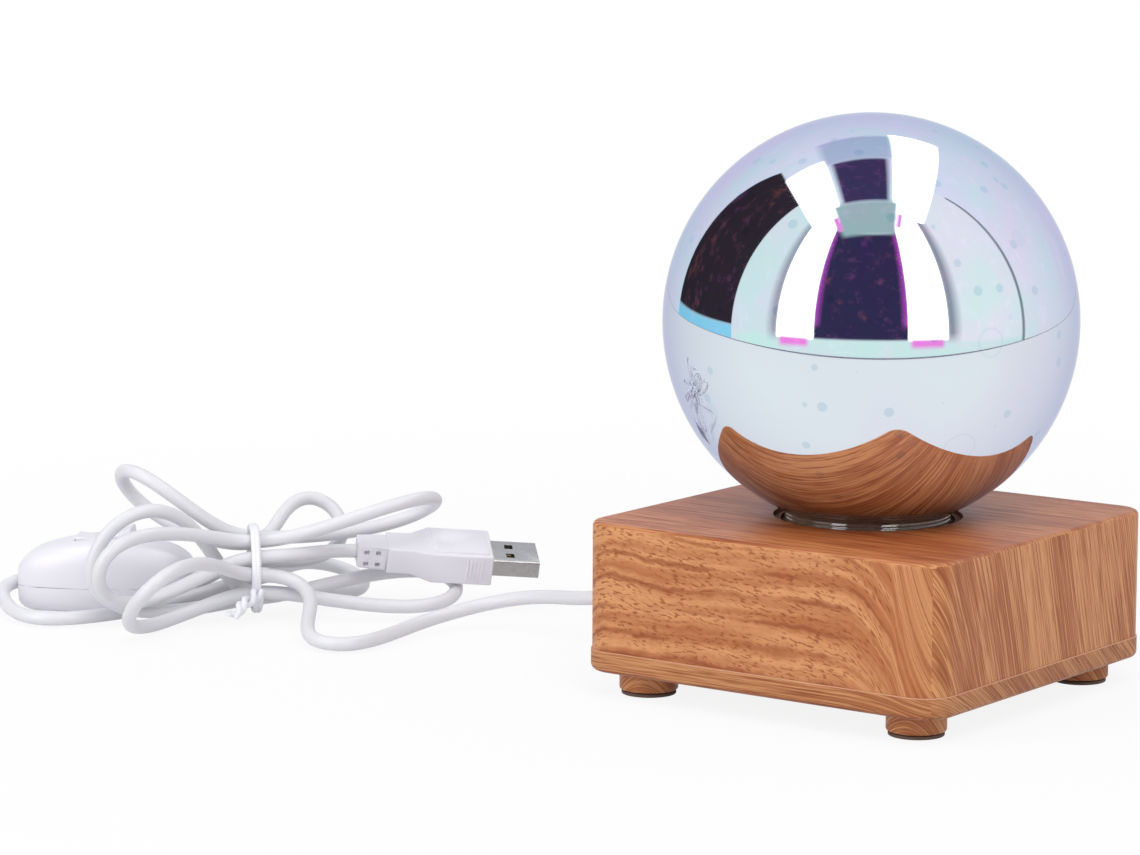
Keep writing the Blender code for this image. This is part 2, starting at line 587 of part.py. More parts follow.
def lead_entry():
    """Grommet in the wall, the lead's tail inside and its two wires up to the board."""
    wall_out = -HOUSING_SIDE / 2
    wall_in = wall_out + HOUSING_WALL
    grommet = turned("cord_grommet", [
        (0, GROMMET_OUTSIDE), (GROMMET_FLANGE_RADIUS * 0.8, GROMMET_OUTSIDE),
        (GROMMET_FLANGE_RADIUS, GROMMET_OUTSIDE * 0.6), (GROMMET_FLANGE_RADIUS, TOUCH_GAP),
        (GROMMET_RADIUS, TOUCH_GAP), (GROMMET_RADIUS, -HOUSING_WALL - TOUCH_GAP),
        (GROMMET_FLANGE_RADIUS, -HOUSING_WALL - TOUCH_GAP),
        (GROMMET_FLANGE_RADIUS, -HOUSING_WALL - TOUCH_GAP - GROMMET_FLANGE_THICK),
        (0, -HOUSING_WALL - TOUCH_GAP - GROMMET_FLANGE_THICK)], "white_plastic", 24,
        origin=(wall_out, 0, CORD_EXIT_HEIGHT))
    grommet.rotation_euler.y = -pi / 2
    tail_start = wall_in + 2 * TOUCH_GAP + GROMMET_FLANGE_THICK
    tail_end = tail_start + TAIL_LENGTH
    ends = [Vector((x, 0, CORD_EXIT_HEIGHT)) for x in (tail_start, tail_end)]
    tube("cord_tail_inside", ends, CORD_DIAMETER, "white_cord")
    for name, side, finish in (("wire_red", -1, "red_wire"), ("wire_black", 1, "black_wire")):
        y = side * WIRE_SPACING / 2
        level = STAND_BOTTOM + STAND_SLOT_HEIGHT / 2
        points = [Vector((tail_end + TOUCH_GAP, y, CORD_EXIT_HEIGHT)),
                  Vector((tail_end + 2 * WIRE_DIAMETER, y, CORD_EXIT_HEIGHT)),
                  Vector((-BOARD_RADIUS - 2 * WIRE_DIAMETER, y, level)),
                  Vector((-BOARD_RADIUS / 2, y, level)),
                  Vector((-STAND_WIRE_HOLE_RADIUS / 3, y, level + 2 * WIRE_DIAMETER)),
                  Vector((0, y, BOARD_BOTTOM - 2 * WIRE_DIAMETER)),
                  Vector((0, y, BOARD_BOTTOM - TOUCH_GAP))]
        tube(name, evened(smooth(points), 3 * WIRE_DIAMETER), WIRE_DIAMETER, finish, 1)


def hank_frame():
    """Directions of the hank: along its length, towards the front, and up."""
    along = Vector((cos(HANK_TURN), sin(HANK_TURN), 0))
    front = Vector((sin(HANK_TURN), -cos(HANK_TURN), 0))
    return along, front, Vector((0, 0, 1))


def lane_point(lane, distance):
    """A point on one of the lanes, at a distance along the hank from the tie."""
    along, front, up = hank_frame()
    angle = FIRST_LANE_ANGLE + 2 * pi * lane / LANE_COUNT
    return WAIST + along * distance + LANE_RING * (front * sin(angle) + up * cos(angle))


def hank_point(distance, forward, height):
    """A point given by its distance along the hank, in front of it and above the floor."""
    along, front, up = hank_frame()
    spot = WAIST + along * distance + front * forward
    return Vector((spot.x, spot.y, height))


def loop_points(lane, side, length, open_along, open_front, open_up, lean_front, lean_up):
    """A loop out of one lane and back in the next one, drawn in at the tie."""
    along, front, up = hank_frame()
    start = lane_point(lane, side * TIE_HALF_LENGTH)
    stop = lane_point(lane + 1, side * TIE_HALF_LENGTH)
    opening = (along * open_along + front * open_front + up * open_up) * MM
    lean = (front * lean_front + up * lean_up) * MM
    points = []
    for step in range(LOOP_POINTS + 1):
        angle = pi * step / LOOP_POINTS
        out = max(0.0, sin(angle))
        across = (stop + start) / 2 - (stop - start) / 2 * cos(angle)
        opened = opening * (OPENING_SHARE * cos(angle) * out ** OPENING_POWER)
        points.append(across + along * (side * length * MM * out) + opened + lean * out ** LEAN_POWER)
    return points


def loops_line(loops):
    """One line through a run of loops."""
    points = []
    for row in loops:
        points += loop_points(*row)
    return points


def least_gap(points, others=None):
    """Smallest clear space between a cord and itself, or between two cords."""
    walked = [0.0]
    for a, b in zip(points, points[1:]):
        walked.append(walked[-1] + (b - a).length)
    least = 1.0
    for i, point in enumerate(points):
        for j, other in enumerate(others or points):
            if others or abs(walked[i] - walked[j]) > 3.5 * CORD_DIAMETER:
                least = min(least, (point - other).length)
    return least - CORD_DIAMETER


def cord_pieces(names, runs):
    """One eased cord through three runs, cut where they meet: a stretch, half of the hank and a stretch."""
    line = eased(evened(runs[0] + runs[1] + runs[2], LINE_SPACING))
    total = length_of(runs[0] + runs[1] + runs[2])
    last = len(line) - 1
    first = round(length_of(runs[0]) / total * last)
    second = round((1 - length_of(runs[2]) / total) * last)
    headings = {0: runs[0][1] - runs[0][0], last: runs[2][-1] - runs[2][-2]}
    for index in (first, second):
        headings[index] = line[index + 1] - line[index - 1]
    for name, low, high, sides in zip(names, (0, first, second), (first, second, last), (2, 1, 2)):
        straight_in = headings[low].normalized() * (LINE_SPACING / 2)
        straight_out = headings[high].normalized() * (LINE_SPACING / 2)
        start = line[low] + headings[low].normalized() * (TOUCH_GAP if low else 0)
        inner = line[low + SOLID_STEP:high - 1:SOLID_STEP]
        tube(name, [start, start + straight_in, *inner, line[high] - straight_out, line[high]],
             CORD_DIAMETER, "white_cord", sides)
    return line


def lead():
    """The cord from the base through the hank and the switch to the plug, and the tie round it."""
    exit_x = -HOUSING_SIDE / 2 - GROMMET_OUTSIDE - TOUCH_GAP
    from_base = [Vector((x, 0, CORD_EXIT_HEIGHT)) for x in (exit_x, exit_x - CORD_DIAMETER)]
    from_base += BASE_STRETCH
    from_base += [hank_point(*row) for row in HANK_APPROACH]
    from_base += [lane_point(0, TIE_HALF_LENGTH + BASE_LANE_RUN), lane_point(0, TIE_HALF_LENGTH)]
    axis = Vector((cos(SWITCH_TURN), sin(SWITCH_TURN), 0))
    middle = SWITCH_CENTRE + Vector((0, 0, SWITCH_SPLIT))
    end = SWITCH_LENGTH / 2 + TOUCH_GAP
    to_far_end = [lane_point(LAST_BASE_LANE, -TIE_HALF_LENGTH)]
    to_far_end += [hank_point(*row) for row in SWITCH_STRETCH]
    to_far_end += [middle - axis * (end + FAR_END_RUN), middle - axis * end]
    from_near_end = [middle + axis * end, middle + axis * (end + NEAR_END_RUN),
                     lane_point(FIRST_PLUG_LANE, -TIE_HALF_LENGTH - NEAR_LANE_RUN),
                     lane_point(FIRST_PLUG_LANE, -TIE_HALF_LENGTH)]
    plug_axis = plug_matrix().to_3x3() @ Vector((1, 0, 0))
    tail = PLUG_TAIL - plug_axis * TOUCH_GAP
    to_plug = [lane_point(LAST_PLUG_LANE, TIE_HALF_LENGTH),
               lane_point(LAST_PLUG_LANE, TIE_HALF_LENGTH + CORD_DIAMETER),
               tail - plug_axis * CORD_DIAMETER, tail]
    base_line = cord_pieces(("cord_to_base", "cord_hank_base_side", "cord_to_switch_far_end"),
                            (smooth(from_base), loops_line(BASE_SIDE_LOOPS), smooth(to_far_end)))
    plug_line = cord_pieces(("cord_to_switch_near_end", "cord_hank_plug_side", "cord_to_plug"),
                            (smooth(from_near_end), loops_line(PLUG_SIDE_LOOPS), smooth(to_plug)))
    print("lead, base to switch: least gap to itself", round(least_gap(base_line) / MM, 2), "mm, lowest",
          round(min(p.z for p in base_line) / MM, 2), "mm, length", round(length_of(base_line), 3), "m")
    print("lead, switch to plug: least gap to itself", round(least_gap(plug_line) / MM, 2), "mm, lowest",
          round(min(p.z for p in plug_line) / MM, 2), "mm, length", round(length_of(plug_line), 3), "m")
    print("between the two", round(least_gap(base_line, plug_line) / MM, 2), "mm")
    tie(base_line + plug_line)


def tie(cords):
    """The twist tie: once round the strands at the waist, with its ends twisted into a tail."""
    along, front, up = hank_frame()
    strands = [p - WAIST for p in cords if abs((p - WAIST).dot(along)) < LINE_SPACING]
    room = (CORD_DIAMETER + TIE_WIRE_DIAMETER) / 2 + TOUCH_GAP
    points = []
    for step in range(TIE_STEPS + 1):
        angle = TIE_START - TIE_SWEEP * step / TIE_STEPS
        outwards = front * sin(angle) + up * cos(angle)
        reach = max(strand.dot(outwards) for strand in strands)
        points.append(WAIST + outwards * (reach + room))
    knot = points[-1] + front * (1.5 * TIE_WIRE_DIAMETER)
    tail = (front * 0.6 - along - up * 0.15).normalized()
    points += [knot, knot + tail * (TIE_TAIL_LENGTH / 2), knot + tail * TIE_TAIL_LENGTH]
    tube("twist_tie", points, TIE_WIRE_DIAMETER, "white_plastic", 1)


def lofted_mesh(name, stations, rounding):
    """A body along X from (x, half width, half height, middle height) stations, with rounded edges."""
    shape = bmesh.new()
    bmesh.ops.create_cube(shape, size=2.0)
    lengthwise = [e for e in shape.edges if abs(e.verts[0].co.x - e.verts[1].co.x) > 1]
    bmesh.ops.subdivide_edges(shape, edges=lengthwise, cuts=len(stations) - 2, use_grid_fill=True)
    last = len(stations) - 1
    for vertex in shape.verts:
        x, half_width, half_height, middle = stations[round((vertex.co.x + 1) / 2 * last)]
        vertex.co = (x, half_width * vertex.co.y, middle + half_height * vertex.co.z)
    long_edges = [e for e in shape.edges if e.calc_face_angle(0) > radians(60)]
    bmesh.ops.bevel(shape, geom=long_edges, offset=rounding, segments=3, profile=0.5, affect="EDGES",
                    clamp_overlap=True)
    bmesh.ops.triangulate(shape, faces=shape.faces[:])
    return finish_bmesh(shape, name)


def holder(name, place):
    """An empty that carries pieces modelled in their own frame."""
    empty = bpy.data.objects.new(name, None)
    PARTS.objects.link(empty)
    empty.matrix_world = place
    return empty


def pillow_mesh(name):
    """The switch's outside: rounded-square sections that narrow to the ends, flat on the floor."""
    shape = bmesh.new()
    half = SWITCH_LENGTH / 2
    rings = []
    for step in range(-SWITCH_RINGS, SWITCH_RINGS + 1):
        share = sin(pi / 2 * step / SWITCH_RINGS)
        width = SWITCH_WIDTH - (SWITCH_WIDTH - SWITCH_END_WIDTH) * share ** 2
        height = SWITCH_HEIGHT - (SWITCH_HEIGHT - SWITCH_END_HEIGHT) * share ** 2
        past = max(0.0, 1 - (1 - abs(share)) * half / SWITCH_END_ROUNDING)
        drawn_in = 1 - (1 - SWITCH_END_FACE) * (1 - sqrt(1 - past ** 2))
        ring = []
        for corner in range(SWITCH_SIDES):
            angle = 2 * pi * corner / SWITCH_SIDES
            y = width / 2 * copysign(abs(cos(angle)) ** SWITCH_SQUARENESS, cos(angle))
            z = height / 2 * (1 + copysign(abs(sin(angle)) ** SWITCH_SQUARENESS, sin(angle)))
            z = SWITCH_SPLIT + (z - SWITCH_SPLIT) * drawn_in
            ring.append(shape.verts.new((half * share, y * drawn_in, z)))
        rings.append(ring)
    for ring, following in zip(rings, rings[1:]):
        for corner in range(SWITCH_SIDES):
            shape.faces.new((ring[corner], ring[corner - 1], following[corner - 1], following[corner]))
    shape.faces.new(rings[0])
    shape.faces.new(reversed(rings[-1]))
    bmesh.ops.triangulate(shape, faces=shape.faces[:])
    return finish_bmesh(shape, name)


def switch():
    """The in-line switch: two halves of a case, a rocker, its bridge, two terminals and two screws."""
    frame = holder("switch_frame", Matrix.Translation(SWITCH_CENTRE) @ Matrix.Rotation(SWITCH_TURN, 4, "Z"))
    body = pillow_mesh("switch_body")
    pivot = SWITCH_HEIGHT - SWITCH_TOP_WALL / 2
    ceiling = SWITCH_HEIGHT - SWITCH_TOP_WALL
    cavity = cutter("switch_cavity", box_mesh(
        "switch_cavity", (-SWITCH_CAVITY_LENGTH / 2, -SWITCH_CAVITY_WIDTH / 2, SWITCH_WALL),
        (SWITCH_CAVITY_LENGTH / 2, SWITCH_CAVITY_WIDTH / 2, ceiling)), frame)
    split = TOUCH_GAP / 2
    reach = SWITCH_LENGTH
    above = cutter("switch_above", box_mesh("switch_above", (-reach, -reach, SWITCH_SPLIT + split),
                                            (reach, reach, reach)), frame)
    below = cutter("switch_below", box_mesh("switch_below", (-reach, -reach, -reach),
                                            (reach, reach, SWITCH_SPLIT - split)), frame)
    lower = add("switch_lower_case", body, "white_plastic", frame)
    upper = add("switch_upper_case", body.copy(), "white_plastic", frame)
    upper.data.materials.clear()
    upper.data.materials.append(material("white_plastic"))
    for case, side in ((lower, below), (upper, above)):
        cut(case, side, "INTERSECT")
        cut(case, cavity)
    room = ROCKER_CLEARANCE
    cut(upper, cutter("rocker_window", box_mesh(
        "rocker_window", (-ROCKER_LENGTH / 2 - room, -ROCKER_WIDTH / 2 - room, ceiling - room),
        (ROCKER_LENGTH / 2 + room, ROCKER_WIDTH / 2 + room, SWITCH_HEIGHT + room)), frame))
    pin_reach = ROCKER_WIDTH / 2 + room + ROCKER_PIN_LENGTH
    cut(upper, cutter("rocker_pin_holes", cylinder_mesh(
        "rocker_pin_holes", ROCKER_PIN_RADIUS + TOUCH_GAP, -pin_reach - TOUCH_GAP, pin_reach + TOUCH_GAP,
        (0, pivot), 16, "Y"), frame))
    rocker(frame, pivot, pin_reach)
    for index, side in enumerate((-1, 1)):
        x = side * SWITCH_SCREW_SPACING / 2
        head_low = SWITCH_SCREW_SUNK
        head_high = head_low + SWITCH_SCREW_HEAD_RADIUS
        shank_top = SWITCH_SPLIT + SWITCH_SCREW_BITE
        room = TOUCH_GAP
        for kind, radius, top in (("shank", SWITCH_SCREW_RADIUS, shank_top),
                                  ("head", SWITCH_SCREW_HEAD_RADIUS, head_high)):
            bore = cylinder_mesh(f"{kind}_hole", radius + room, -room, top + room, (x, 0), 16)
            hole = cutter(f"switch_screw_{kind}_hole_{index}", bore, frame)
            cut(lower, hole)
            cut(upper, hole)
        turned(f"switch_screw_{index}", [
            (0, shank_top), (SWITCH_SCREW_RADIUS, shank_top), (SWITCH_SCREW_RADIUS, head_high),
            (SWITCH_SCREW_HEAD_RADIUS, head_high), (SWITCH_SCREW_HEAD_RADIUS, head_low), (0, head_low)],
            "steel", 10, frame, (x, 0, 0))
        low = SWITCH_WALL + TOUCH_GAP
        near, far = sorted((side * TERMINAL_NEAR, side * TERMINAL_FAR))
        name = f"switch_terminal_{index}"
        add(name, box_mesh(name, (near, -TERMINAL_WIDTH / 2, low),
                           (far, TERMINAL_WIDTH / 2, low + TERMINAL_HEIGHT)), "brass", frame)
    bridge_low = SWITCH_WALL + 2 * TOUCH_GAP + TERMINAL_HEIGHT
    strip = box_mesh("switch_bridge", (-TERMINAL_FAR, -BRIDGE_WIDTH / 2, bridge_low),
                     (TERMINAL_FAR, BRIDGE_WIDTH / 2, bridge_low + BRIDGE_THICK))
    add("switch_bridge", strip, "brass", frame)


def rocker(frame, pivot, pin_reach):
    """The rocker with its two pins, modelled about its pivot."""
    high = SWITCH_TOP_WALL / 2
    half_width = ROCKER_WIDTH / 2
    stations = [(x, half_width, ROCKER_DEPTH, 0.0) for x in (-ROCKER_LENGTH / 2, 0.0, ROCKER_LENGTH / 2)]
    data = lofted_mesh("switch_rocker", stations, 0.0)
    for vertex in data.vertices:
        rise = ROCKER_RISE * abs(vertex.co.x) / (ROCKER_LENGTH / 2)
        vertex.co.z = high + rise if vertex.co.z > 0 else -ROCKER_DEPTH
    piece = add("switch_rocker", data, "white_plastic", frame, (0, 0, pivot))
    piece.rotation_euler.y = -ROCKER_TRAVEL
    pins = cylinder_mesh("rocker_pins", ROCKER_PIN_RADIUS, -pin_reach, pin_reach, (0, pivot), 16, "Y")
    cut(piece, cutter("rocker_pins", pins, frame), "UNION")


def plug_matrix():
    """Where the plug lies: its tail, its heading, nose down and rolled to the front."""
    turn = Matrix.Rotation(PLUG_TURN, 4, "Z") @ Matrix.Rotation(PLUG_NOSE_DOWN, 4, "Y")
    return Matrix.Translation(PLUG_TAIL) @ turn @ Matrix.Rotation(PLUG_ROLL, 4, "X")


def plug():
    """The USB plug: moulded grip with its strain relief, steel shell, tongue and four contacts."""
    frame = holder("plug_frame", plug_matrix())
    rear = PLUG_RELIEF_LENGTH
    flare = rear + PLUG_BODY_LENGTH * PLUG_FLARE_START
    wide = rear + PLUG_BODY_LENGTH * PLUG_FLARE_END
    front = rear + PLUG_BODY_LENGTH
    step = TOUCH_GAP
    stations = [
        (0, PLUG_RELIEF_WIDTH / 2 - PLUG_RELIEF_TAPER, PLUG_RELIEF_HEIGHT / 2 - PLUG_RELIEF_TAPER, 0.0),
        (rear, PLUG_RELIEF_WIDTH / 2, PLUG_RELIEF_HEIGHT / 2, 0.0),
        (rear + step, PLUG_REAR_WIDTH / 2, PLUG_REAR_HEIGHT / 2, 0.0),
        (flare, PLUG_REAR_WIDTH / 2, PLUG_REAR_HEIGHT / 2, 0.0),
        (wide, PLUG_BODY_WIDTH / 2, PLUG_BODY_HEIGHT / 2, 0.0),
        (front, PLUG_BODY_WIDTH / 2, PLUG_BODY_HEIGHT / 2, 0.0)]
    grip = add("plug_grip", lofted_mesh("plug_grip", stations, PLUG_ROUNDING), "white_plastic", frame)
    for index in range(RELIEF_SLOTS):
        x = rear * (index + 0.75) / (RELIEF_SLOTS + 0.5)
        for level in (-1, 1):
            z = level * PLUG_RELIEF_HEIGHT / 4
            middle = Vector((x, 0, z))
            half_slot = Vector((RELIEF_SLOT_LENGTH / 2, PLUG_RELIEF_WIDTH, RELIEF_SLOT_HEIGHT / 2))
            slot = box_mesh("relief_slot", middle - half_slot, middle + half_slot)
            cut(grip, cutter(f"relief_slot_{index}_{level}", slot, frame))
    half_width = SHELL_WIDTH / 2
    half_height = SHELL_HEIGHT / 2
    seat = front - SHELL_SEAT
    tip = front + SHELL_LENGTH
    cut(grip, cutter("shell_seat", box_mesh("shell_seat", (seat - TOUCH_GAP, -half_width - TOUCH_GAP,
                                                           -half_height - TOUCH_GAP),
                                            (tip, half_width + TOUCH_GAP, half_height + TOUCH_GAP)), frame))
    sleeve = box_mesh("plug_shell", (seat, -half_width, -half_height), (tip, half_width, half_height))
    shell = add("plug_shell", sleeve, "steel", frame)
    inner_width = half_width - SHELL_WALL
    inner_height = half_height - SHELL_WALL
    cut(shell, cutter("shell_inside", box_mesh("shell_inside", (seat - RUN_GAP, -inner_width, -inner_height),
                                               (tip + RUN_GAP, inner_width, inner_height)), frame))
    for index, side in enumerate((-1, 1)):
        y = side * SHELL_HOLE_SPACING / 2
        x = front + SHELL_HOLE_FROM_GRIP
        cut(shell, cutter(f"shell_hole_{index}", box_mesh(
            "shell_hole", (x - SHELL_HOLE_SIDE / 2, y - SHELL_HOLE_SIDE / 2, -half_height - RUN_GAP),
            (x + SHELL_HOLE_SIDE / 2, y + SHELL_HOLE_SIDE / 2, half_height + RUN_GAP)), frame))
    tongue_low = -inner_height + TOUCH_GAP
    tongue_high = tongue_low + TONGUE_HEIGHT
    tongue = box_mesh("plug_tongue", (seat, -inner_width + TOUCH_GAP, tongue_low),
                      (tip - RUN_GAP, inner_width - TOUCH_GAP, tongue_high))
    add("plug_tongue", tongue, "white_plastic", frame)
    for index in range(4):
        y = (index - 1.5) * CONTACT_PITCH
        low = tongue_high + CONTACT_GAP
        name = f"plug_contact_{index}"
        strip = box_mesh(name, (seat, y - CONTACT_WIDTH / 2, low),
                         (tip - 2 * RUN_GAP, y + CONTACT_WIDTH / 2, low + CONTACT_THICK))
        add(name, strip, "brass", frame)


base()
globe()
socket()
light_board()
lead_entry()
switch()
plug()
lead()
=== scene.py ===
"""Ball night light: a mirror-coated glass ball on a square wood-look base, with a USB lead tied in a hank.

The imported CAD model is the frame. Every new piece is modelled in its place in that frame, in metres.
"""

from math import cos, hypot, pi, radians, sin

import bmesh
import bpy
from bpy.props import FloatProperty, FloatVectorProperty, IntProperty, PointerProperty
from mathutils import Matrix, Vector


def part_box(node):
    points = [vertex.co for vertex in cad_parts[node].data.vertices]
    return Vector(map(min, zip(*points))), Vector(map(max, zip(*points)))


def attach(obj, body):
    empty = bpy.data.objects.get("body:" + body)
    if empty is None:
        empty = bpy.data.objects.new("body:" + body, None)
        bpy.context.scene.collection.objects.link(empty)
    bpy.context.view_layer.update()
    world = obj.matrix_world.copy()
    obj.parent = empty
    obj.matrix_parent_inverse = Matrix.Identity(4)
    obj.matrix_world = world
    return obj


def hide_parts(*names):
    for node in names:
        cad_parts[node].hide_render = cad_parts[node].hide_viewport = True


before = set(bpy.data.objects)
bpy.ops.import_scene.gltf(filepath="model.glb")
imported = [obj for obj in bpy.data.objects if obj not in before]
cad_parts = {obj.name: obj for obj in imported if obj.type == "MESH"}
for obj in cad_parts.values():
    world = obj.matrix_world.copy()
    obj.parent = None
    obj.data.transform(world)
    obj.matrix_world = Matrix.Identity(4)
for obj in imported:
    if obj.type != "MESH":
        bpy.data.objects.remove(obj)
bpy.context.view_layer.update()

bl_info = {
    "name": "Ball night light",
    "version": (1, 0, 0),
    "blender": (4, 5, 0),
    "location": "3D View > Sidebar > Night light",
    "description": "Dresses the ball night light and sets it on a pale studio floor",
    "category": "Object",
}

MM = 0.001
UP = Vector((0, 0, 1))

# Camera of the photograph
VIEW_TURN = radians(36.110)
VIEW_HEIGHT = radians(8.747)
VIEW_ROLL = radians(0.235)
VIEW_PLACE = (0.55572, -0.88384, 0.22340)

# Places taken from the CAD nodes
HOUSING_LOW, HOUSING_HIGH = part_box("base_housing")
PLATE_LOW, PLATE_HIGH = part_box("base_plate")
GLOBE_LOW, GLOBE_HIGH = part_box("glass_globe")
BALL_RADIUS = (GLOBE_HIGH.x - GLOBE_LOW.x) / 2
BALL_CENTRE = GLOBE_HIGH.z - BALL_RADIUS

# Base, feet and neck
FOOT_REACH = 37.7 * MM
FOOT_SPOTS = [(x * FOOT_REACH, y * FOOT_REACH) for x in (-1, 1) for y in (-1, 1)]
FOOT_RADIUS = 7.1 * MM
FOOT_ROUNDING = 0.6 * MM
PAD_RADIUS = 6.6 * MM
PAD_ROUNDING = 0.2 * MM
HOUSING_INSET = 0.3 * MM
LEAD_HOLE_RADIUS = 3.85 * MM
# Rounding of the plate's upper edge, and the band along it that carries a painted highlight
PLATE_TOP_BAND = 0.2 * MM
NECK_RADIUS = 20.0 * MM
THREAD_TOP = 41.75 * MM
THREAD_PITCH = 2.6 * MM
THREAD_RADIUS = NECK_RADIUS + 0.6 * MM
THREAD_TURNS = 3
# Shape of one turn: share of the pitch below its top, and radius
THREAD_SHAPE = ((0.3, THREAD_RADIUS), (0.5, THREAD_RADIUS), (0.8, NECK_RADIUS))

# Lead: the route of the CAD cords, whose diameter sets its offsets, drawn as thin as the photograph shows it
CORD_DIAMETER = 4.0 * MM
CORD_SHOWN = 3.6 * MM
CORD_EXIT = Vector((-52.55, 0.0, 16.5)) * MM
WAIST = Vector((-174.0, -23.0, 12.8)) * MM
HANK_ALONG = Vector((cos(radians(45)), sin(radians(45)), 0))
HANK_FRONT = Vector((sin(radians(45)), -cos(radians(45)), 0))
LANES = 10
LANE_RING = 4.9 * MM / (2 * sin(pi / LANES))
FIRST_LANE_ANGLE = radians(94)
TIE_HALF_LENGTH = 3.0 * MM
LOOP_POINTS = 36
OPENING_POWER = 1.15
OPENING_SHARE = (1 + OPENING_POWER) ** 0.5 * (1 + 1 / OPENING_POWER) ** (OPENING_POWER / 2)
LEAN_POWER = 1.5
LINE_SPACING = 2.4 * MM
DRAWN_SPACING = 1.2 * MM
EASE_PASSES = 7
FITTING_GAP = 0.25 * MM
# Each loop: first lane, side of the tie, length, how far its first strand opens along the hank, to the front
# and up, and how far its end leans to the front and up, in millimetres
BASE_SIDE_LOOPS = (
    (0, -1, 30.8, 4.6, 8.6, 8.0, 38.0, 2.7),
    (1, 1, 51.0, 0.3, 7.6, -4.1, -2.3, 0.6),
    (2, -1, 36.6, -9.2, -0.3, -11.0, 12.5, 19.3),
    (3, 1, 25.8, 7.1, 3.1, -2.1, -25.6, -1.4),
)
PLUG_SIDE_LOOPS = (
    (5, 1, 20.0, 5.5, 3.8, -4.7, -11.0, 9.8),
    (6, -1, 31.3, -1.7, -7.5, -3.2, -8.3, 18.3),
    (7, 1, 45.5, 0.7, -8.8, -4.4, -0.9, 9.4),
    (8, -1, 39.2, -1.6, 6.2, 8.3, 15.2, -4.9),
)
# Free stretches: apart from the first one, they give distance along the hank, in front of it and height
BASE_STRETCH = [Vector(p) * MM for p in (
    (-68, -0.5, 15), (-80, -2, 12.5), (-92, 0.5, 11), (-100, 2, 10), (-107, 2, 8.8), (-117, -1, 6.2))]
HANK_APPROACH = [Vector(p) * MM for p in (
    (43, 27, 3.4), (33, 37.5, 2.4), (26, 46, 2.2), (21.5, 50.5, 2.2), (16.5, 51.5, 2.2), (11.8, 48.8, 2.4),
    (9.8, 43, 3.0), (10.3, 35.5, 4.3), (11.8, 27, 6.0), (13, 18.5, 8.2), (11.6, 11.6, 10.4))]
SWITCH_STRETCH = [Vector(p) * MM for p in (
    (-7.5, -7.4, 6.6), (-13.5, -4.8, 5.4), (-21, -0.5, 4.2), (-29, 1.2, 3.0), (-37, 3.4, 2.3),
    (-46, 7.1, 2.2), (-53.5, 8.5, 2.2), (-60, 4.5, 2.3), (-63.8, -4, 3.2), (-65.4, -12.5, 5.2),
    (-64.6, -18.2, 6.9))]

# In-line switch and plug, in their own frames
SWITCH_PLACE = Matrix.Translation(Vector((-211.7, -38.2, 0.0)) * MM) @ Matrix.Rotation(radians(34), 4, "Z")
SWITCH_LENGTH = 46.0 * MM
SWITCH_WIDTH = 24.0 * MM
SWITCH_HEIGHT = 19.5 * MM
SWITCH_END_WIDTH = 15.6 * MM
SWITCH_END_HEIGHT = 14.4 * MM
SWITCH_END_ROUNDING = 5.8 * MM
SWITCH_END_DRAW = 0.4
SWITCH_RIM = 0.08 * MM
SWITCH_SPLIT = SWITCH_END_HEIGHT / 2
SWITCH_SPLIT_GAP = 0.04 * MM
SWITCH_AXIS = SWITCH_PLACE.to_3x3() @ Vector((1, 0, 0))
SWITCH_MIDDLE = SWITCH_PLACE @ Vector((0, 0, SWITCH_SPLIT))
ROCKER_PIVOT = 17.7 * MM
ROCKER_HALF_LENGTH = 7.5 * MM
ROCKER_HALF_WIDTH = 4.5 * MM
ROCKER_RISE = 1.8 * MM
ROCKER_DEPTH = 3.5 * MM
ROCKER_HOLLOW = 1.55 * MM
ROCKER_TIP = radians(-9)
PLUG_TAIL = Vector((-155.1, -4.1, 16.7)) * MM
PLUG_PLACE = (Matrix.Translation(PLUG_TAIL) @ Matrix.Rotation(radians(45), 4, "Z")
              @ Matrix.Rotation(radians(4.5), 4, "Y") @ Matrix.Rotation(radians(17), 4, "X"))
PLUG_AXIS = PLUG_PLACE.to_3x3() @ Vector((1, 0, 0))

# Stage
FLOOR_SETBACK = 0.66
FLOOR_DROP = 0.2 * MM
FLOOR_RIM = 0.03
FLOOR_RIM_EDGE = 0.004
LAMP_AIM = Vector((-0.05, 0, 0.04))
TENT_RADIUS = 2.6
# Patches on the walls of the light tent, seen in the ball: angle from the camera's side and elevation, each
# from and to, in degrees
WALL_PATCHES = (
    (-134.5, -85.0, -1.0, 75.0, "dark room"),
    (-134.5, -85.0, -9.0, -1.0, "cyan strip"),
    (-85.0, -55.5, -3.0, 75.0, "mint wall"),
    (-60.0, -55.0, -3.0, 62.0, "grey edge"),
    (38.0, 87.0, -5.0, 75.0, "pale wall"),
    (37.0, 44.0, -3.0, 62.0, "grey edge"),
    (86.0, 88.0, -8.0, 60.0, "frame"),
    (-35.0, 16.5, -3.0, 55.0, "opening"),
    (-37.0, -32.0, 4.0, 54.0, "violet edge"),
    (13.5, 18.0, 4.0, 54.0, "violet edge"),
    (-55.5, -35.0, -3.0, 65.0, "softbox"),
    (16.5, 38.0, -3.0, 65.0, "softbox"),
    (-54.0, -38.0, -7.0, -2.5, "magenta foot"),
    (18.0, 36.0, -7.0, -2.5, "magenta foot"),
)
# Wall patches that reach above this elevation show only beside the ceiling
WALL_TOP = 70.0
CEILING_LEFT, CEILING_RIGHT, CEILING_EDGE = -0.62, 0.455, 0.01
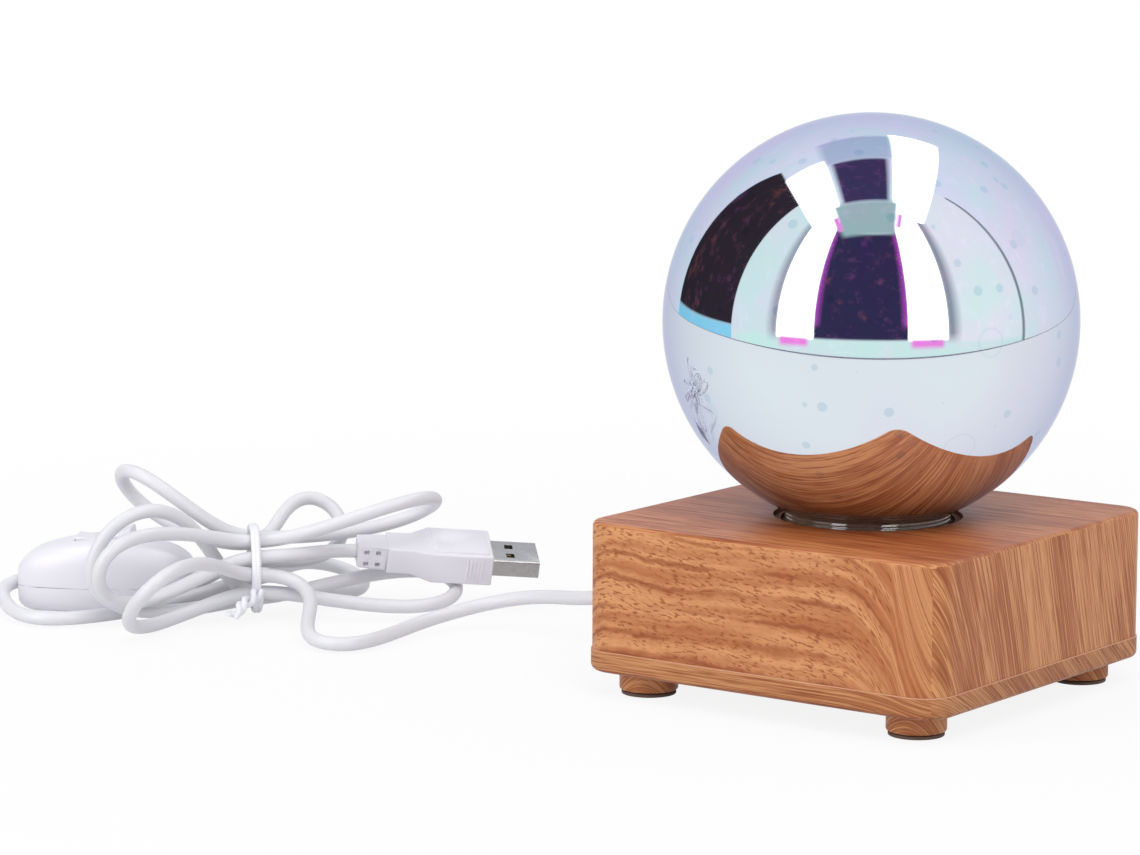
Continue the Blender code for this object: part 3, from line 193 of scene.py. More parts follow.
# Patches on its ceiling: sideways and towards the camera, each from and to, per unit of height
CEILING_PATCHES = (
    (-0.62, -0.295, -0.40, 0.47, "softbox"),
    (0.15, 0.455, -0.85, 0.47, "softbox"),
    (-0.36, 0.20, 0.25, 0.70, "grey band"),
    (-0.40, -0.33, 0.40, 0.60, "magenta foot"),
    (0.19, 0.25, 0.40, 0.60, "magenta foot"),
    (-0.25, 0.11, -0.31, 0.25, "ceiling opening"),
    (-0.295, 0.15, -0.80, -0.31, "blue panel"),
)
TENT_COLOURS = {
    "softbox": (4.0, 4.0, 4.0), "opening": (0.034, 0.026, 0.075), "dark room": (0.030, 0.021, 0.030),
    "ceiling opening": (0.05, 0.035, 0.10), "grey band": (0.36, 0.46, 0.47), "blue panel": (0.46, 0.52, 0.66),
    "mint wall": (0.72, 0.79, 0.80), "pale wall": (0.80, 0.83, 0.84), "cyan strip": (0.28, 0.66, 0.84),
    "magenta foot": (0.90, 0.25, 0.72), "frame": (0.22, 0.26, 0.28), "grey edge": (0.30, 0.30, 0.36),
    "violet edge": (0.40, 0.06, 0.42),
}
SOFT_EDGED = {
    "grey edge": 0.05, "magenta foot": 0.022, "violet edge": 0.03, "softbox": 0.014, "opening": 0.012,
    "grey band": 0.035, "blue panel": 0.03, "ceiling opening": 0.02,
}


def colour_property(name, description, default):
    return FloatVectorProperty(name=name, description=description, subtype="COLOR", size=3, min=0.0, max=1.0,
                               default=default)


def number_property(name, description, default, unit="NONE"):
    return FloatProperty(name=name, description=description, default=default, unit=unit)


def length_property(name, description, millimetres):
    return number_property(name, description, millimetres * MM, "LENGTH")


class StageSettings(bpy.types.PropertyGroup):
    floor_radius: length_property("Floor radius", "Half the width of the pale floor", 1100.0)
    floor_colour: colour_property("Floor", "Colour of the floor", (0.86, 0.86, 0.88))
    floor_white: number_property("Floor white", "Share of the floor shown as white", 0.88)
    world_level: number_property("Soft light", "Level of the light from all round", 0.68)
    key_power: number_property("Key lamp", "Power of the lamp above", 17.0, "POWER")
    fill_power: number_property("Fill lamp", "Power of the lamp in front", 11.0, "POWER")
    lens: number_property("Lens", "Focal length in millimetres", 138.43)


class BaseSettings(bpy.types.PropertyGroup):
    wood_light: colour_property("Light wood", "Pale colour between the grain lines", (0.63, 0.29, 0.114))
    wood_mid: colour_property("Wood", "Main colour of the wood film", (0.42, 0.142, 0.045))
    wood_dark: colour_property("Dark wood", "Colour of the grain lines and pores", (0.27, 0.062, 0.014))
    corner: length_property("Corner", "Radius of the upright corners", 8.0)
    wall: length_property("Wall", "Thickness of the housing's wall", 3.0)
    top_rounding: length_property("Top rounding", "Rounding of the upper edge", 1.2)
    plate_rounding: length_property("Plate rounding", "Rounding of the plate's lower edge", 1.6)
    hole_radius: length_property("Hole", "Radius of the hole for the neck", 22.85)


class GlobeSettings(bpy.types.PropertyGroup):
    coat_lilac: colour_property("Lilac", "Coat colour towards the rim", (0.66, 0.69, 0.81))
    coat_cyan: colour_property("Pale cyan", "Coat colour seen straight on", (0.87, 0.96, 1.0))
    coat_rose: colour_property("Rose", "Second tint of the coat", (0.88, 0.88, 0.98))
    motif_tint: colour_property("Motif", "Colour of the small printed dots and rings", (0.45, 0.66, 0.80))
    wall: length_property("Wall", "Thickness of the glass", 1.8)
    coat_edge: length_property("Coat edge", "Height where the mirror coat ends", 46.6)
    segments: IntProperty(name="Segments", description="Faces round the ball", default=128)


class LeadSettings(bpy.types.PropertyGroup):
    cord_white: colour_property("Cord", "Colour of the lead", (0.73, 0.73, 0.75))
    plastic_white: colour_property("Plastic", "Colour of switch, plug and grommet", (0.79, 0.775, 0.82))
    shell_steel: colour_property("Steel", "Colour of the plug's shell", (0.465, 0.44, 0.43))
    tie_width: length_property("Tie wire", "Thickness of the twist tie", 1.6)


# Modelling helpers

def deselect():
    if bpy.context.object and bpy.context.object.mode != "OBJECT":
        bpy.ops.object.mode_set(mode="OBJECT")
    bpy.ops.object.select_all(action="DESELECT")


def started(name):
    """The primitive just added, under its own name, with its place in its mesh."""
    piece = bpy.context.object
    piece.name = name
    piece.data.name = name
    bpy.ops.object.transform_apply(location=True, rotation=True, scale=True)
    return piece


def new_block(name, low, high):
    """A box between two corners, to be shaped."""
    low, high = Vector(low), Vector(high)
    deselect()
    bpy.ops.mesh.primitive_cube_add(size=1.0, location=(low + high) / 2, scale=high - low)
    return started(name)


def block_mm(name, low, high):
    """A box between two corners in millimetres."""
    return new_block(name, [value * MM for value in low], [value * MM for value in high])


def new_drum(name, radius, low, high, spot=(0, 0), sides=64):
    """A cylinder between two heights, to be shaped."""
    deselect()
    bpy.ops.mesh.primitive_cylinder_add(vertices=sides, radius=radius, depth=high - low,
                                        location=(*spot, (low + high) / 2))
    return started(name)


def new_ball(name, radius, centre, segments):
    """A ball with half as many rings as segments."""
    deselect()
    bpy.ops.mesh.primitive_uv_sphere_add(segments=segments, ring_count=segments // 2, radius=radius,
                                         location=centre)
    return started(name)


def activate(piece):
    deselect()
    piece.select_set(True)
    bpy.context.view_layer.objects.active = piece


def pick_all(piece):
    if piece.mode != "EDIT":
        activate(piece)
        bpy.ops.object.mode_set(mode="EDIT")
    bpy.ops.mesh.select_all(action="SELECT")


def pick(piece, kind, test):
    """In edit mode, select the faces or edges for which the test holds."""
    pick_all(piece)
    bpy.ops.mesh.select_mode(type="FACE" if kind == "faces" else "EDGE")
    bpy.ops.mesh.select_all(action="DESELECT")
    shape = bmesh.from_edit_mesh(piece.data)
    found = [part for part in getattr(shape, kind) if test(part)]
    if not found:
        raise RuntimeError(f"{piece.name}: nothing to select")
    for part in found:
        part.select_set(True)
    shape.select_flush_mode()
    bmesh.update_edit_mesh(piece.data)


def done(piece):
    bpy.ops.object.mode_set(mode="OBJECT")
    return piece


def bevel(piece, width, segments, test, **more):
    """Round the edges for which the test holds."""
    pick(piece, "edges", test)
    bpy.ops.mesh.bevel(offset=width, segments=segments, profile=0.5, affect="EDGES", **more)
    return done(piece)


def modify(piece, kind, **settings):
    """Add a modifier and apply it."""
    activate(piece)
    modifier = piece.modifiers.new(kind.lower(), kind)
    for key, value in settings.items():
        setattr(modifier, key, value)
    bpy.ops.object.modifier_apply(modifier=modifier.name)


def cut_out(piece, tool, operation="DIFFERENCE"):
    """Cut one shape with another, or join them, and delete the tool."""
    modify(piece, "BOOLEAN", object=tool, operation=operation, solver="EXACT")
    bpy.data.objects.remove(tool, do_unlink=True)


def upright(edge):
    a, b = (v.co for v in edge.verts)
    return abs(a.z - b.z) > 10 * hypot(a.x - b.x, a.y - b.y)


def at_height(part, *levels):
    return any(all(abs(v.co.z - level) < 1e-5 for v in part.verts) for level in levels)


def sharper_than(degrees):
    return lambda edge: edge.calc_face_angle(0) > radians(degrees)


def recalculate(piece):
    """Merge doubles and turn all faces outwards."""
    pick_all(piece)
    bpy.ops.mesh.remove_doubles(threshold=1e-6)
    bpy.ops.mesh.normals_make_consistent(inside=False)
    done(piece)


def settle(piece, body, finishes, nodes=(), angle=35):
    """Smooth shading, finishes, and its place in the frame."""
    activate(piece)
    bpy.ops.object.shade_smooth_by_angle(angle=radians(angle))
    for index, finish in enumerate(finishes):
        if index < len(piece.data.materials):
            piece.data.materials[index] = finish
        else:
            piece.data.materials.append(finish)
    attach(piece, body)
    if nodes:
        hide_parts(*nodes)
    return piece


# Materials

class Web:
    """A tree of shader nodes, with short calls for the nodes that the finishes are made of."""

    def __init__(self, tree):
        self.tree = tree

    def feed(self, socket, value):
        """Link an input to another node's output, or set its value."""
        if isinstance(value, bpy.types.NodeSocket):
            self.tree.links.new(value, socket)
        else:
            socket.default_value = value

    def node(self, kind, settings=None, **inputs):
        """A node with its settings and inputs."""
        made = self.tree.nodes.new(kind)
        for key, value in (settings or {}).items():
            setattr(made, key, value)
        for key, value in inputs.items():
            self.feed(made.inputs[key.replace("_", " ")], value)
        return made

    def maths(self, operation, *values):
        made = self.node("ShaderNodeMath", {"operation": operation})
        for socket, value in zip(made.inputs, values):
            self.feed(socket, value)
        return made.outputs[0]

    def plus(self, a, b):
        return self.maths("ADD", a, b)

    def less(self, a, b):
        return self.maths("SUBTRACT", a, b)

    def times(self, a, b):
        return self.maths("MULTIPLY", a, b)

    def scaled(self, value, factor, offset):
        """The value times the factor, plus the offset."""
        return self.maths("MULTIPLY_ADD", value, factor, offset)

    def most(self, a, b):
        return self.maths("MAXIMUM", a, b)

    def mix(self, factor, first, second, kind="MIX"):
        """Mix of two colours."""
        made = self.node("ShaderNodeMix", {"data_type": "RGBA", "blend_type": kind})
        self.feed(made.inputs[0], factor)
        for socket, value in ((made.inputs[6], first), (made.inputs[7], second)):
            self.feed(socket, value if isinstance(value, bpy.types.NodeSocket) else (*value, 1.0))
        return made.outputs[2]

    def fit(self, value, low, high, to_low=0.0, to_high=1.0):
        """A value fitted from one range to another, and held at its ends."""
        made = self.node("ShaderNodeMapRange", Value=value)
        for socket, number in zip(made.inputs[1:5], (low, high, to_low, to_high)):
            socket.default_value = number
        return made.outputs[0]

    def noise(self, vector, scale, detail, roughness):
        return self.node("ShaderNodeTexNoise", Vector=vector, Scale=scale, Detail=detail,
                         Roughness=roughness).outputs[0]

    def joined(self, x, y, z):
        return self.node("ShaderNodeCombineXYZ", X=x, Y=y, Z=z).outputs[0]

    def split(self, vector):
        return self.node("ShaderNodeSeparateXYZ", Vector=vector).outputs

    def spot(self):
        return self.node("ShaderNodeTexCoord").outputs["Object"]

    def rays(self):
        return self.node("ShaderNodeLightPath").outputs

    def shown_white(self):
        """1 for rays from the camera and from mirrors and glass."""
        rays = self.rays()
        return self.most(self.most(rays["Is Camera Ray"], rays["Is Glossy Ray"]), rays["Is Transmission Ray"])

    def surface(self, colour, roughness, height, strength, distance):
        """Colour, roughness and relief of the Principled shader."""
        relief = self.node("ShaderNodeBump", Strength=strength, Distance=distance, Height=height).outputs[0]
        inputs = self.tree.nodes["Principled BSDF"].inputs
        for name, value in (("Base Color", colour), ("Roughness", roughness), ("Normal", relief)):
            self.feed(inputs[name], value)

    def show(self, output, share, first, second):
        """Two shaders mixed on an output node."""
        mixed = self.node("ShaderNodeMixShader")
        for socket, value in zip(mixed.inputs, (share, first.outputs[0], second.outputs[0])):
            self.feed(socket, value)
        self.node(output, Surface=mixed.outputs[0])


def new_finish(name, **constants):
    """A material and its nodes, with constants on the Principled shader's own sockets."""
    finish = bpy.data.materials.new(name)
    finish.use_nodes = True
    web = Web(finish.node_tree)
    for key, value in constants.items():
        web.tree.nodes["Principled BSDF"].inputs[key.replace("_", " ")].default_value = value
    return finish, web


def bare_finish(name):
    """A material whose nodes are still to be placed."""
    finish, web = new_finish(name)
    web.tree.nodes.clear()
    return finish, web


def film_group(name, inputs, fill):
    """A shader node group for colour, roughness and height, filled when it is first asked for."""
    found = bpy.data.node_groups.get(name)
    if found:
        return found
    tree = bpy.data.node_groups.new(name, "ShaderNodeTree")
    results = (("Colour", "Color"), ("Roughness", "Float"), ("Height", "Float"))
    for way, sockets in (("INPUT", inputs), ("OUTPUT", results)):
        for label, kind in sockets:
            tree.interface.new_socket(name=label, in_out=way, socket_type=f"NodeSocket{kind}")
    web = Web(tree)
    colour, roughness, height = fill(web, web.node("NodeGroupInput").outputs)
    web.node("NodeGroupOutput", Colour=colour, Roughness=roughness, Height=height)
    return tree


SKIN_INPUTS = (("Place", "Vector"), ("Colour", "Color"), ("Mottle", "Float"), ("Gloss", "Float"),
               ("Grain", "Float"))
WOOD_INPUTS = (("Grain", "Vector"), ("Light", "Color"), ("Mid", "Color"), ("Dark", "Color"),
               ("Seed", "Float"))


def moulded_skin(web, given):
    """Faint mottle, handling marks and fine texture of moulded or drawn surfaces."""
    spot = given["Place"]
    broad = web.noise(spot, 70.0, 3.0, 0.55)
    uneven = web.less(broad, 0.5)
    shade = web.scaled(uneven, given["Mottle"], 1.0)
    colour = web.mix(1.0, given["Colour"], web.joined(shade, shade, shade), "MULTIPLY")
    marks = web.fit(web.noise(spot, 260.0, 5.0, 0.7), 0.6, 0.75)
    roughness = web.scaled(uneven, 0.12, web.scaled(marks, 0.08, given["Gloss"]))
    fine = web.times(web.noise(spot, 900.0, 2.0, 0.6), given["Grain"])
    return colour, roughness, web.scaled(broad, 0.3, fine)


def skinned_finish(name, colour, gloss, mottle, grain, relief, **constants):
    """A material with a moulded skin, its relief in millimetres."""
    found = bpy.data.materials.get(name)
    if found:
        return found
    finish, web = new_finish(name, **constants)
    skin = web.node("ShaderNodeGroup", {"node_tree": film_group("moulded skin", SKIN_INPUTS, moulded_skin)},
                    Place=web.spot(), Colour=(*colour, 1.0), Mottle=mottle, Gloss=gloss, Grain=grain).outputs
    web.surface(skin["Colour"], skin["Roughness"], skin["Height"], 0.5, relief * MM)
    return finish


def wood_film(web, given):
    """Printed wood: flat-sawn figure with pores, or straight streaks, along the piece's grain attribute."""
    along, across, straight = web.split(given["Grain"])
    light, mid, dark = given["Light"], given["Mid"], given["Dark"]

    def field(length, width, detail, roughness, shift, height=across):
        """Noise drawn out to a length along the grain and a width across it, in millimetres."""
        spot = web.joined(web.times(along, 1 / length), web.times(height, 1 / width),
                          web.plus(given["Seed"], shift))
        return web.noise(spot, 1.0, detail, roughness)

    wander = web.less(field(48, 30, 1.0, 0.5, 0.0), 0.5)
    ripple = web.less(field(4.6, 9.0, 2.0, 0.5, 3.0), 0.5)
    wavy = web.scaled(ripple, 2.4, web.scaled(wander, 9.0, across))
    bands = field(120, 6.5, 3.0, 0.6, 11.0, wavy)
    swell = web.maths("SINE", web.scaled(bands, 4.0, web.times(wavy, 1.05)))
    lines = web.times(web.fit(swell, 0.6, 1.0), web.fit(field(22, 4.0, 2.0, 0.5, 5.0), 0.40, 0.56))
    tilted = web.scaled(along, 0.16, across)
    pores = web.times(web.fit(field(1.9, 0.6, 1.0, 0.5, 23.0, tilted), 0.55, 0.63),
                      web.fit(field(12, 5.0, 1.0, 0.5, 31.0), 0.3, 0.5))
    mottle = web.fit(field(5.0, 1.7, 3.0, 0.6, 27.0, tilted), 0.45, 0.7)
    flat = web.mix(web.fit(bands, 0.42, 0.58), light, mid)
    for mark, weight in ((mottle, 0.26), (lines, 0.78), (pores, 0.8)):
        flat = web.mix(web.times(mark, weight), flat, dark)

    streaks = field(50, 4.0, 4.0, 0.75, 41.0)
    broad = field(160, 60.0, 2.0, 0.5, 47.0)
    threads = web.fit(field(16, 2.6, 2.0, 0.5, 53.0), 0.53, 0.61)
    mixed = web.scaled(web.less(broad, 0.5), 0.5, streaks)
    plain = web.mix(web.fit(mixed, 0.45, 0.53), light, mid)
    plain = web.mix(web.fit(mixed, 0.55, 0.68, 0.0, 0.72), plain, dark)
    plain = web.mix(web.times(threads, 0.72), plain, dark)

    marks = web.scaled(straight, web.times(threads, 0.5), web.times(web.less(1.0, straight), pores))
    return web.mix(straight, flat, plain), web.scaled(marks, 0.2, 0.40), web.less(1.0, marks)


def wood_finish(name, seed, shade=1.0):
    """Wood film on the piece's own grain attribute, printed lighter or darker, with painted shade: up-facing
    faces darker and redder.
    """
    colours = bpy.context.scene.night_base
    finish, web = new_finish(name, Specular_IOR_Level=0.34)
    grain = web.node("ShaderNodeAttribute", {"attribute_name": "grain"}).outputs["Vector"]
    tones = {"Light": colours.wood_light, "Mid": colours.wood_mid, "Dark": colours.wood_dark}
    shades = {key: (*(shade * c for c in tone), 1.0) for key, tone in tones.items()}
    film = web.node("ShaderNodeGroup", {"node_tree": film_group("wood film", WOOD_INPUTS, wood_film)},
                    Grain=grain, Seed=seed, **shades).outputs
    # Painted shade: faces that look up are made darker and redder, standing in for the shade and dark
    # reflections on the top.
    upward = web.split(web.node("ShaderNodeNewGeometry").outputs["Normal"])["Z"]
    painted_top_shade = web.mix(1.0, film["Colour"], (0.90, 0.70, 0.58), "MULTIPLY")
    colour = web.mix(web.fit(upward, 0.6, 0.95), film["Colour"], painted_top_shade)
    web.surface(colour, film["Roughness"], film["Height"], 0.35, 0.05 * MM)
    return finish


def mirror_coat():
    """Silvered, faintly iridescent coat with small printed dots and rings."""
    colours = bpy.context.scene.night_globe
    finish, web = new_finish("mirror coat", Metallic=1.0, Specular_Tint=(0.80, 0.83, 0.94, 1.0))
    spot = web.spot()
    facing = web.node("ShaderNodeLayerWeight", Blend=0.35).outputs["Facing"]
    drift = web.noise(spot, 16.0, 2.0, 0.5)
    tint = web.mix(web.fit(drift, 0.42, 0.62), colours.coat_cyan, colours.coat_rose)
    tint = web.mix(web.fit(facing, 0.15, 0.75), tint, colours.coat_lilac)

    def cells(scale, randomness, channel, share):
        """Distance from the middle of scattered cells, and a mask that keeps some of them."""
        made = web.node("ShaderNodeTexVoronoi", Vector=spot, Scale=scale, Randomness=randomness).outputs
        chosen = web.node("ShaderNodeSeparateColor", Color=made["Color"]).outputs[channel]
        return made["Distance"], web.fit(chosen, share, share + 0.02)

    away, kept = cells(150.0, 0.9, "Red", 0.25)
    dots = web.times(web.fit(away, 0.16, 0.2, 1.0, 0.0), kept)
    away, kept = cells(58.0, 0.8, "Green", 0.8)
    from_ring = web.maths("ABSOLUTE", web.less(away, 0.24))
    rings = web.times(web.fit(from_ring, 0.012, 0.022, 1.0, 0.0), kept)
    motif = web.most(web.times(dots, 0.42), web.times(rings, 0.14))
    smear = web.fit(web.noise(spot, 60.0, 4.0, 0.6), 0.3, 0.8, 0.015, 0.06)
    colour = web.mix(motif, tint, colours.motif_tint)
    web.surface(colour, smear, web.noise(spot, 34.0, 1.0, 0.4), 0.03, 0.1 * MM)
    return finish


def clear_glass():
    """Uncoated glass of the neck, with fine turned ridges."""
    finish, web = new_finish("clear neck glass", Transmission_Weight=0.6, IOR=1.75)
    spot = web.spot()
    ridges = web.maths("SINE", web.times(web.split(spot)["Z"], 2 * pi / (0.85 * MM)))
    streaks = web.noise(spot, 300.0, 3.0, 0.6)
    colour = web.mix(web.fit(streaks, 0.4, 0.7), (0.46, 0.30, 0.21), (0.34, 0.20, 0.14))
    web.surface(colour, web.fit(streaks, 0.3, 0.7, 0.02, 0.06), ridges, 0.4, 0.08 * MM)
    return finish


def brushed_steel(colour):
    """Drawn sheet steel with fine lines along the plug."""
    finish, web = new_finish("shell steel", Metallic=1.0)
    spot = web.spot()
    drawn = web.node("ShaderNodeMapping", Vector=spot, Rotation=(0, 0, radians(-45)), Scale=(0.05, 1, 1))
    lines = web.noise(drawn.outputs[0], 900.0, 3.0, 0.65)
    cloud = web.noise(spot, 220.0, 2.0, 0.5)
    shaded = web.mix(web.fit(lines, 0.3, 0.7), colour, [0.82 * c for c in colour])
    roughness = web.scaled(cloud, 0.14, web.fit(lines, 0.3, 0.7, 0.20, 0.26))
    web.surface(shaded, roughness, lines, 0.05, 0.004 * MM)
    return finish


# Wood grain, with lengths in millimetres

BASE_HALF = 50.0
GRAIN_RUN = 9.0
GRAIN_STEEP = 7.0
# Walk from the middle of the front to where the lines turn down, right and left, and that on the deck
GRAIN_STARTS = (24.0, 40.0)
DECK_START = 30.0
# The figure grows straight this far past the turn, over this walk, and fades back over this one behind
STRAIGHT_PAST, STRAIGHT_WALK, STRAIGHT_FADE = 14.0, 12.0, 22.0
# Slope of the straight figure
LEAN_ALONG, LEAN_ACROSS = 0.8, 0.9
SLICE_REACH = 48 * MM


def grain_bend(distance, start):
    """How far the grain lines have dropped past the place where they start to turn down."""
    past = distance - start
    if past <= 0:
        return 0.0
    reach = GRAIN_STEEP * GRAIN_RUN
    if past < reach:
        return past * past / (2 * GRAIN_RUN)
    return reach * reach / (2 * GRAIN_RUN) + GRAIN_STEEP * (past - reach)


def grain_at(spot, normal, rise):
    """Along the grain, across it, and how straight the figure is, on the film wrapped round the base.

    The rise is how fast the lines follow each other up the walls. Above 1 all of the figure is straight.
    """
    x, y, z = (value / MM for value in spot)
    sideways = BASE_HALF + (y + BASE_HALF)
    if abs(normal.z) > 0.6:
        return x, grain_bend(sideways, DECK_START) + z, 1.0
    back = 3 * BASE_HALF
    if normal.y < -0.7:
        walked = abs(x)
    elif abs(normal.x) >= 0.7:
        walked = sideways
    else:
        walked = back + (BASE_HALF - abs(x))
    start = GRAIN_STARTS[0] if x > 0 else GRAIN_STARTS[1]
    along = walked if x > 0 else -walked
    across = rise * z + grain_bend(min(walked, back), start)
    straight = min(1.0, max(0.0, (walked - start - STRAIGHT_PAST) / STRAIGHT_WALK))
    if walked > back:
        straight = max(0.0, 1.0 - (walked - back) / STRAIGHT_FADE)
    if rise > 1:
        straight = 1.0
    return along - LEAN_ALONG * z * straight, across + LEAN_ACROSS * z * straight, straight


def store_grain(piece, rule):
    """Write the grain that a rule gives for a place and a normal as an attribute on every face corner."""
    data = piece.data
    layer = data.attributes.new("grain", "FLOAT_VECTOR", "CORNER")
    for face in data.polygons:
        for index in face.loop_indices:
            layer.data[index].vector = rule(data.vertices[data.loops[index].vertex_index].co, face.normal)


def slice_up(piece, spacing):
    """Cross cuts along X and Y, so that the grain can bend between them."""
    count = int(SLICE_REACH / spacing)
    for axis in (Vector((1, 0, 0)), Vector((0, 1, 0))):
        for step in range(-count, count + 1):
            pick_all(piece)
            bpy.ops.mesh.bisect(plane_co=axis * (step * spacing), plane_no=axis)
    done(piece)


# Stage

def hide_from(thing, *rays):
    for ray in rays:
        setattr(thing, f"visible_{ray}", False)


class NIGHTLIGHT_OT_stage(bpy.types.Operator):
    """Pale floor, light tent, lamps and the camera"""
    bl_idname = "nightlight.stage"
    bl_label = "Stage"

    def execute(self, context):
        settings = context.scene.night_stage
        context.scene.view_settings.view_transform = "Standard"
        self.floor(settings)
        self.tent()
        self.world(context.scene, settings)
        self.lamp("key_lamp", (0.9, -0.9, 1.7), 1.3, settings.key_power)
        self.lamp("fill_lamp", (-0.9, -1.5, 0.9), 1.2, settings.fill_power)
        self.camera(context.scene, settings)
        return {"FINISHED"}

    def floor(self, settings):
        """A pale round table top, set back from the camera, with a thin dark rim that only mirrors show."""
        deselect()
        radius = settings.floor_radius
        middle = -FLOOR_SETBACK * Vector((sin(VIEW_TURN), -cos(VIEW_TURN), 0))
        bpy.ops.mesh.primitive_circle_add(vertices=128, radius=radius, fill_type="NGON",
                                          location=middle - UP * FLOOR_DROP)
        floor = started("floor")
        finish, web = bare_finish("pale floor")
        mirrored = web.rays()["Is Glossy Ray"]
        away = web.node("ShaderNodeVectorMath", {"operation": "DISTANCE"})
        for socket, value in zip(away.inputs, (web.spot(), middle)):
            web.feed(socket, value)
        rim_start = radius - FLOOR_RIM
        rim = web.fit(away.outputs["Value"], rim_start, rim_start + FLOOR_RIM_EDGE)
        pale = web.mix(mirrored, (1.0, 1.0, 1.0), (0.80, 0.80, 0.82))
        spread = web.node("ShaderNodeVectorMath", {"operation": "LENGTH"}, Vector=web.spot()).outputs["Value"]
        share = web.times(web.shown_white(), web.fit(spread, 0.2, 0.5, settings.floor_white, 1.0))
        matt = web.node("ShaderNodeBsdfDiffuse", Color=(*settings.floor_colour, 1.0))
        shown = web.mix(web.times(rim, mirrored), pale, (0.2, 0.16, 0.24))
        bright = web.node("ShaderNodeEmission", Color=shown, Strength=1.0)
        web.show("ShaderNodeOutputMaterial", share, matt, bright)
        floor.data.materials.append(finish)

    def tent(self):
        """A light tent with softboxes and openings round the table, seen only in mirrors."""
        tent = new_ball("light_tent", TENT_RADIUS, (0, 0, BALL_CENTRE), 48)
        finish, web = bare_finish("light tent")
        spot = web.spot()
        x, y, z = web.split(spot)
        right = web.plus(web.times(x, cos(VIEW_TURN)), web.times(y, sin(VIEW_TURN)))
        near = web.less(web.times(x, sin(VIEW_TURN)), web.times(y, cos(VIEW_TURN)))
        high = web.less(z, BALL_CENTRE)
        level = web.maths("SQRT", web.scaled(right, right, web.times(near, near)))
        angle = web.maths("ARCTAN2", right, near)
        elevation = web.maths("ARCTAN2", high, level)
        above = web.most(high, 0.02)
        sideways = web.maths("DIVIDE", right, above)
        forwards = web.maths("DIVIDE", near, above)

        def past(value, edge, soft):
            return web.fit(value, edge - soft, edge + soft)

        def short_of(value, edge, soft):
            return web.fit(value, edge - soft, edge + soft, 1.0, 0.0)

        def inside(value, low, high, soft):
            return web.times(past(value, low, soft), short_of(value, high, soft))

        beside_ceiling = web.most(short_of(sideways, CEILING_LEFT, CEILING_EDGE),
                                  past(sideways, CEILING_RIGHT, CEILING_EDGE))
        glow = web.mix(web.fit(elevation, radians(-10), radians(70)), (0.80, 0.81, 0.83), (0.74, 0.79, 0.88))
        beyond_table = web.times(web.fit(elevation, radians(-4), radians(-2), 1.0, 0.0),
                                 inside(angle, radians(-85), radians(88), 0.05))
        glow = web.mix(beyond_table, glow, (0.68, 0.83, 0.79))
        for left, right_end, low, top, look in WALL_PATCHES:
            mask = web.times(inside(angle, radians(left), radians(right_end), SOFT_EDGED.get(look, 0.006)),
                             inside(elevation, radians(low), radians(top), SOFT_EDGED.get(look, 0.012)))
            if top > WALL_TOP:
                mask = web.times(mask, beside_ceiling)
            glow = web.mix(mask, glow, TENT_COLOURS[look])
        for left, right_end, back, front, look in CEILING_PATCHES:
            soft = SOFT_EDGED.get(look, 0.01)
            mask = web.times(inside(sideways, left, right_end, soft), inside(forwards, back, front, soft))
            glow = web.mix(mask, glow, TENT_COLOURS[look])
        drift = web.fit(web.noise(spot, 0.9, 2.0, 0.5), 0.38, 0.62)
        glow = web.mix(1.0, glow, web.mix(drift, (1.05, 0.96, 1.03), (0.92, 1.02, 1.0)), "MULTIPLY")
        speckle = web.fit(web.noise(spot, 3.4, 5.0, 0.7), 0.54, 0.72)
        patchy = web.fit(web.noise(spot, 1.1, 1.0, 0.5), 0.4, 0.6)
        glow = web.mix(speckle, glow, web.mix(patchy, (0.10, 0.02, 0.10), (0.11, 0.03, 0.02)), "ADD")
        light = web.node("ShaderNodeEmission", Color=glow, Strength=1.0)
        web.node("ShaderNodeOutputMaterial", Surface=light.outputs[0])
        tent.data.materials.append(finish)
        hide_from(tent, "camera", "diffuse", "shadow", "transmission")

    def world(self, scene, settings):
        """Soft light from all round, shown as white."""
        world = bpy.data.worlds.new("studio")
        scene.world = world
        world.use_nodes = True
        web = Web(world.node_tree)
        web.tree.nodes.clear()
        soft = web.node("ShaderNodeBackground", Color=(0.96, 0.96, 1.0, 1.0), Strength=settings.world_level)
        white = web.node("ShaderNodeBackground", Color=(1.0, 1.0, 1.0, 1.0), Strength=1.0)
        web.show("ShaderNodeOutputWorld", web.shown_white(), soft, white)

    def lamp(self, name, spot, size, power):
        """A square lamp aimed at the middle of the part."""
        light = bpy.data.lights.new(name, "AREA")
        light.size = size
        light.energy = power
        lamp = bpy.data.objects.new(name, light)
        bpy.context.scene.collection.objects.link(lamp)
        lamp.location = spot
        aim = LAMP_AIM - Vector(spot)
        lamp.rotation_euler = aim.to_track_quat("-Z", "Y").to_euler()
        hide_from(lamp, "glossy", "camera")

    def camera(self, scene, settings):
        """The photograph's camera."""
        turn, height, roll = VIEW_TURN, VIEW_HEIGHT, VIEW_ROLL
        back = Vector((sin(turn) * cos(height), -cos(turn) * cos(height), sin(height)))
        right = Vector((cos(turn), sin(turn), 0))
        up = back.cross(right)
        right, up = cos(roll) * right + sin(roll) * up, cos(roll) * up - sin(roll) * right
        data = bpy.data.cameras.new("photo_camera")
        data.lens = settings.lens
        data.sensor_width = 36.0
        data.clip_start = 0.05
        data.clip_end = 30.0
        camera = bpy.data.objects.new("photo_camera", data)
        scene.collection.objects.link(camera)
        turned = Matrix((right, up, back)).transposed().to_4x4()
        camera.matrix_world = Matrix.Translation(VIEW_PLACE) @ turned
        scene.camera = camera


# Lead

def lane_point(lane, distance):
    """A point of one of the lanes in which the strands pass through the tie."""
    angle = FIRST_LANE_ANGLE + 2 * pi * lane / LANES
    return WAIST + HANK_ALONG * distance + LANE_RING * (HANK_FRONT * sin(angle) + UP * cos(angle))


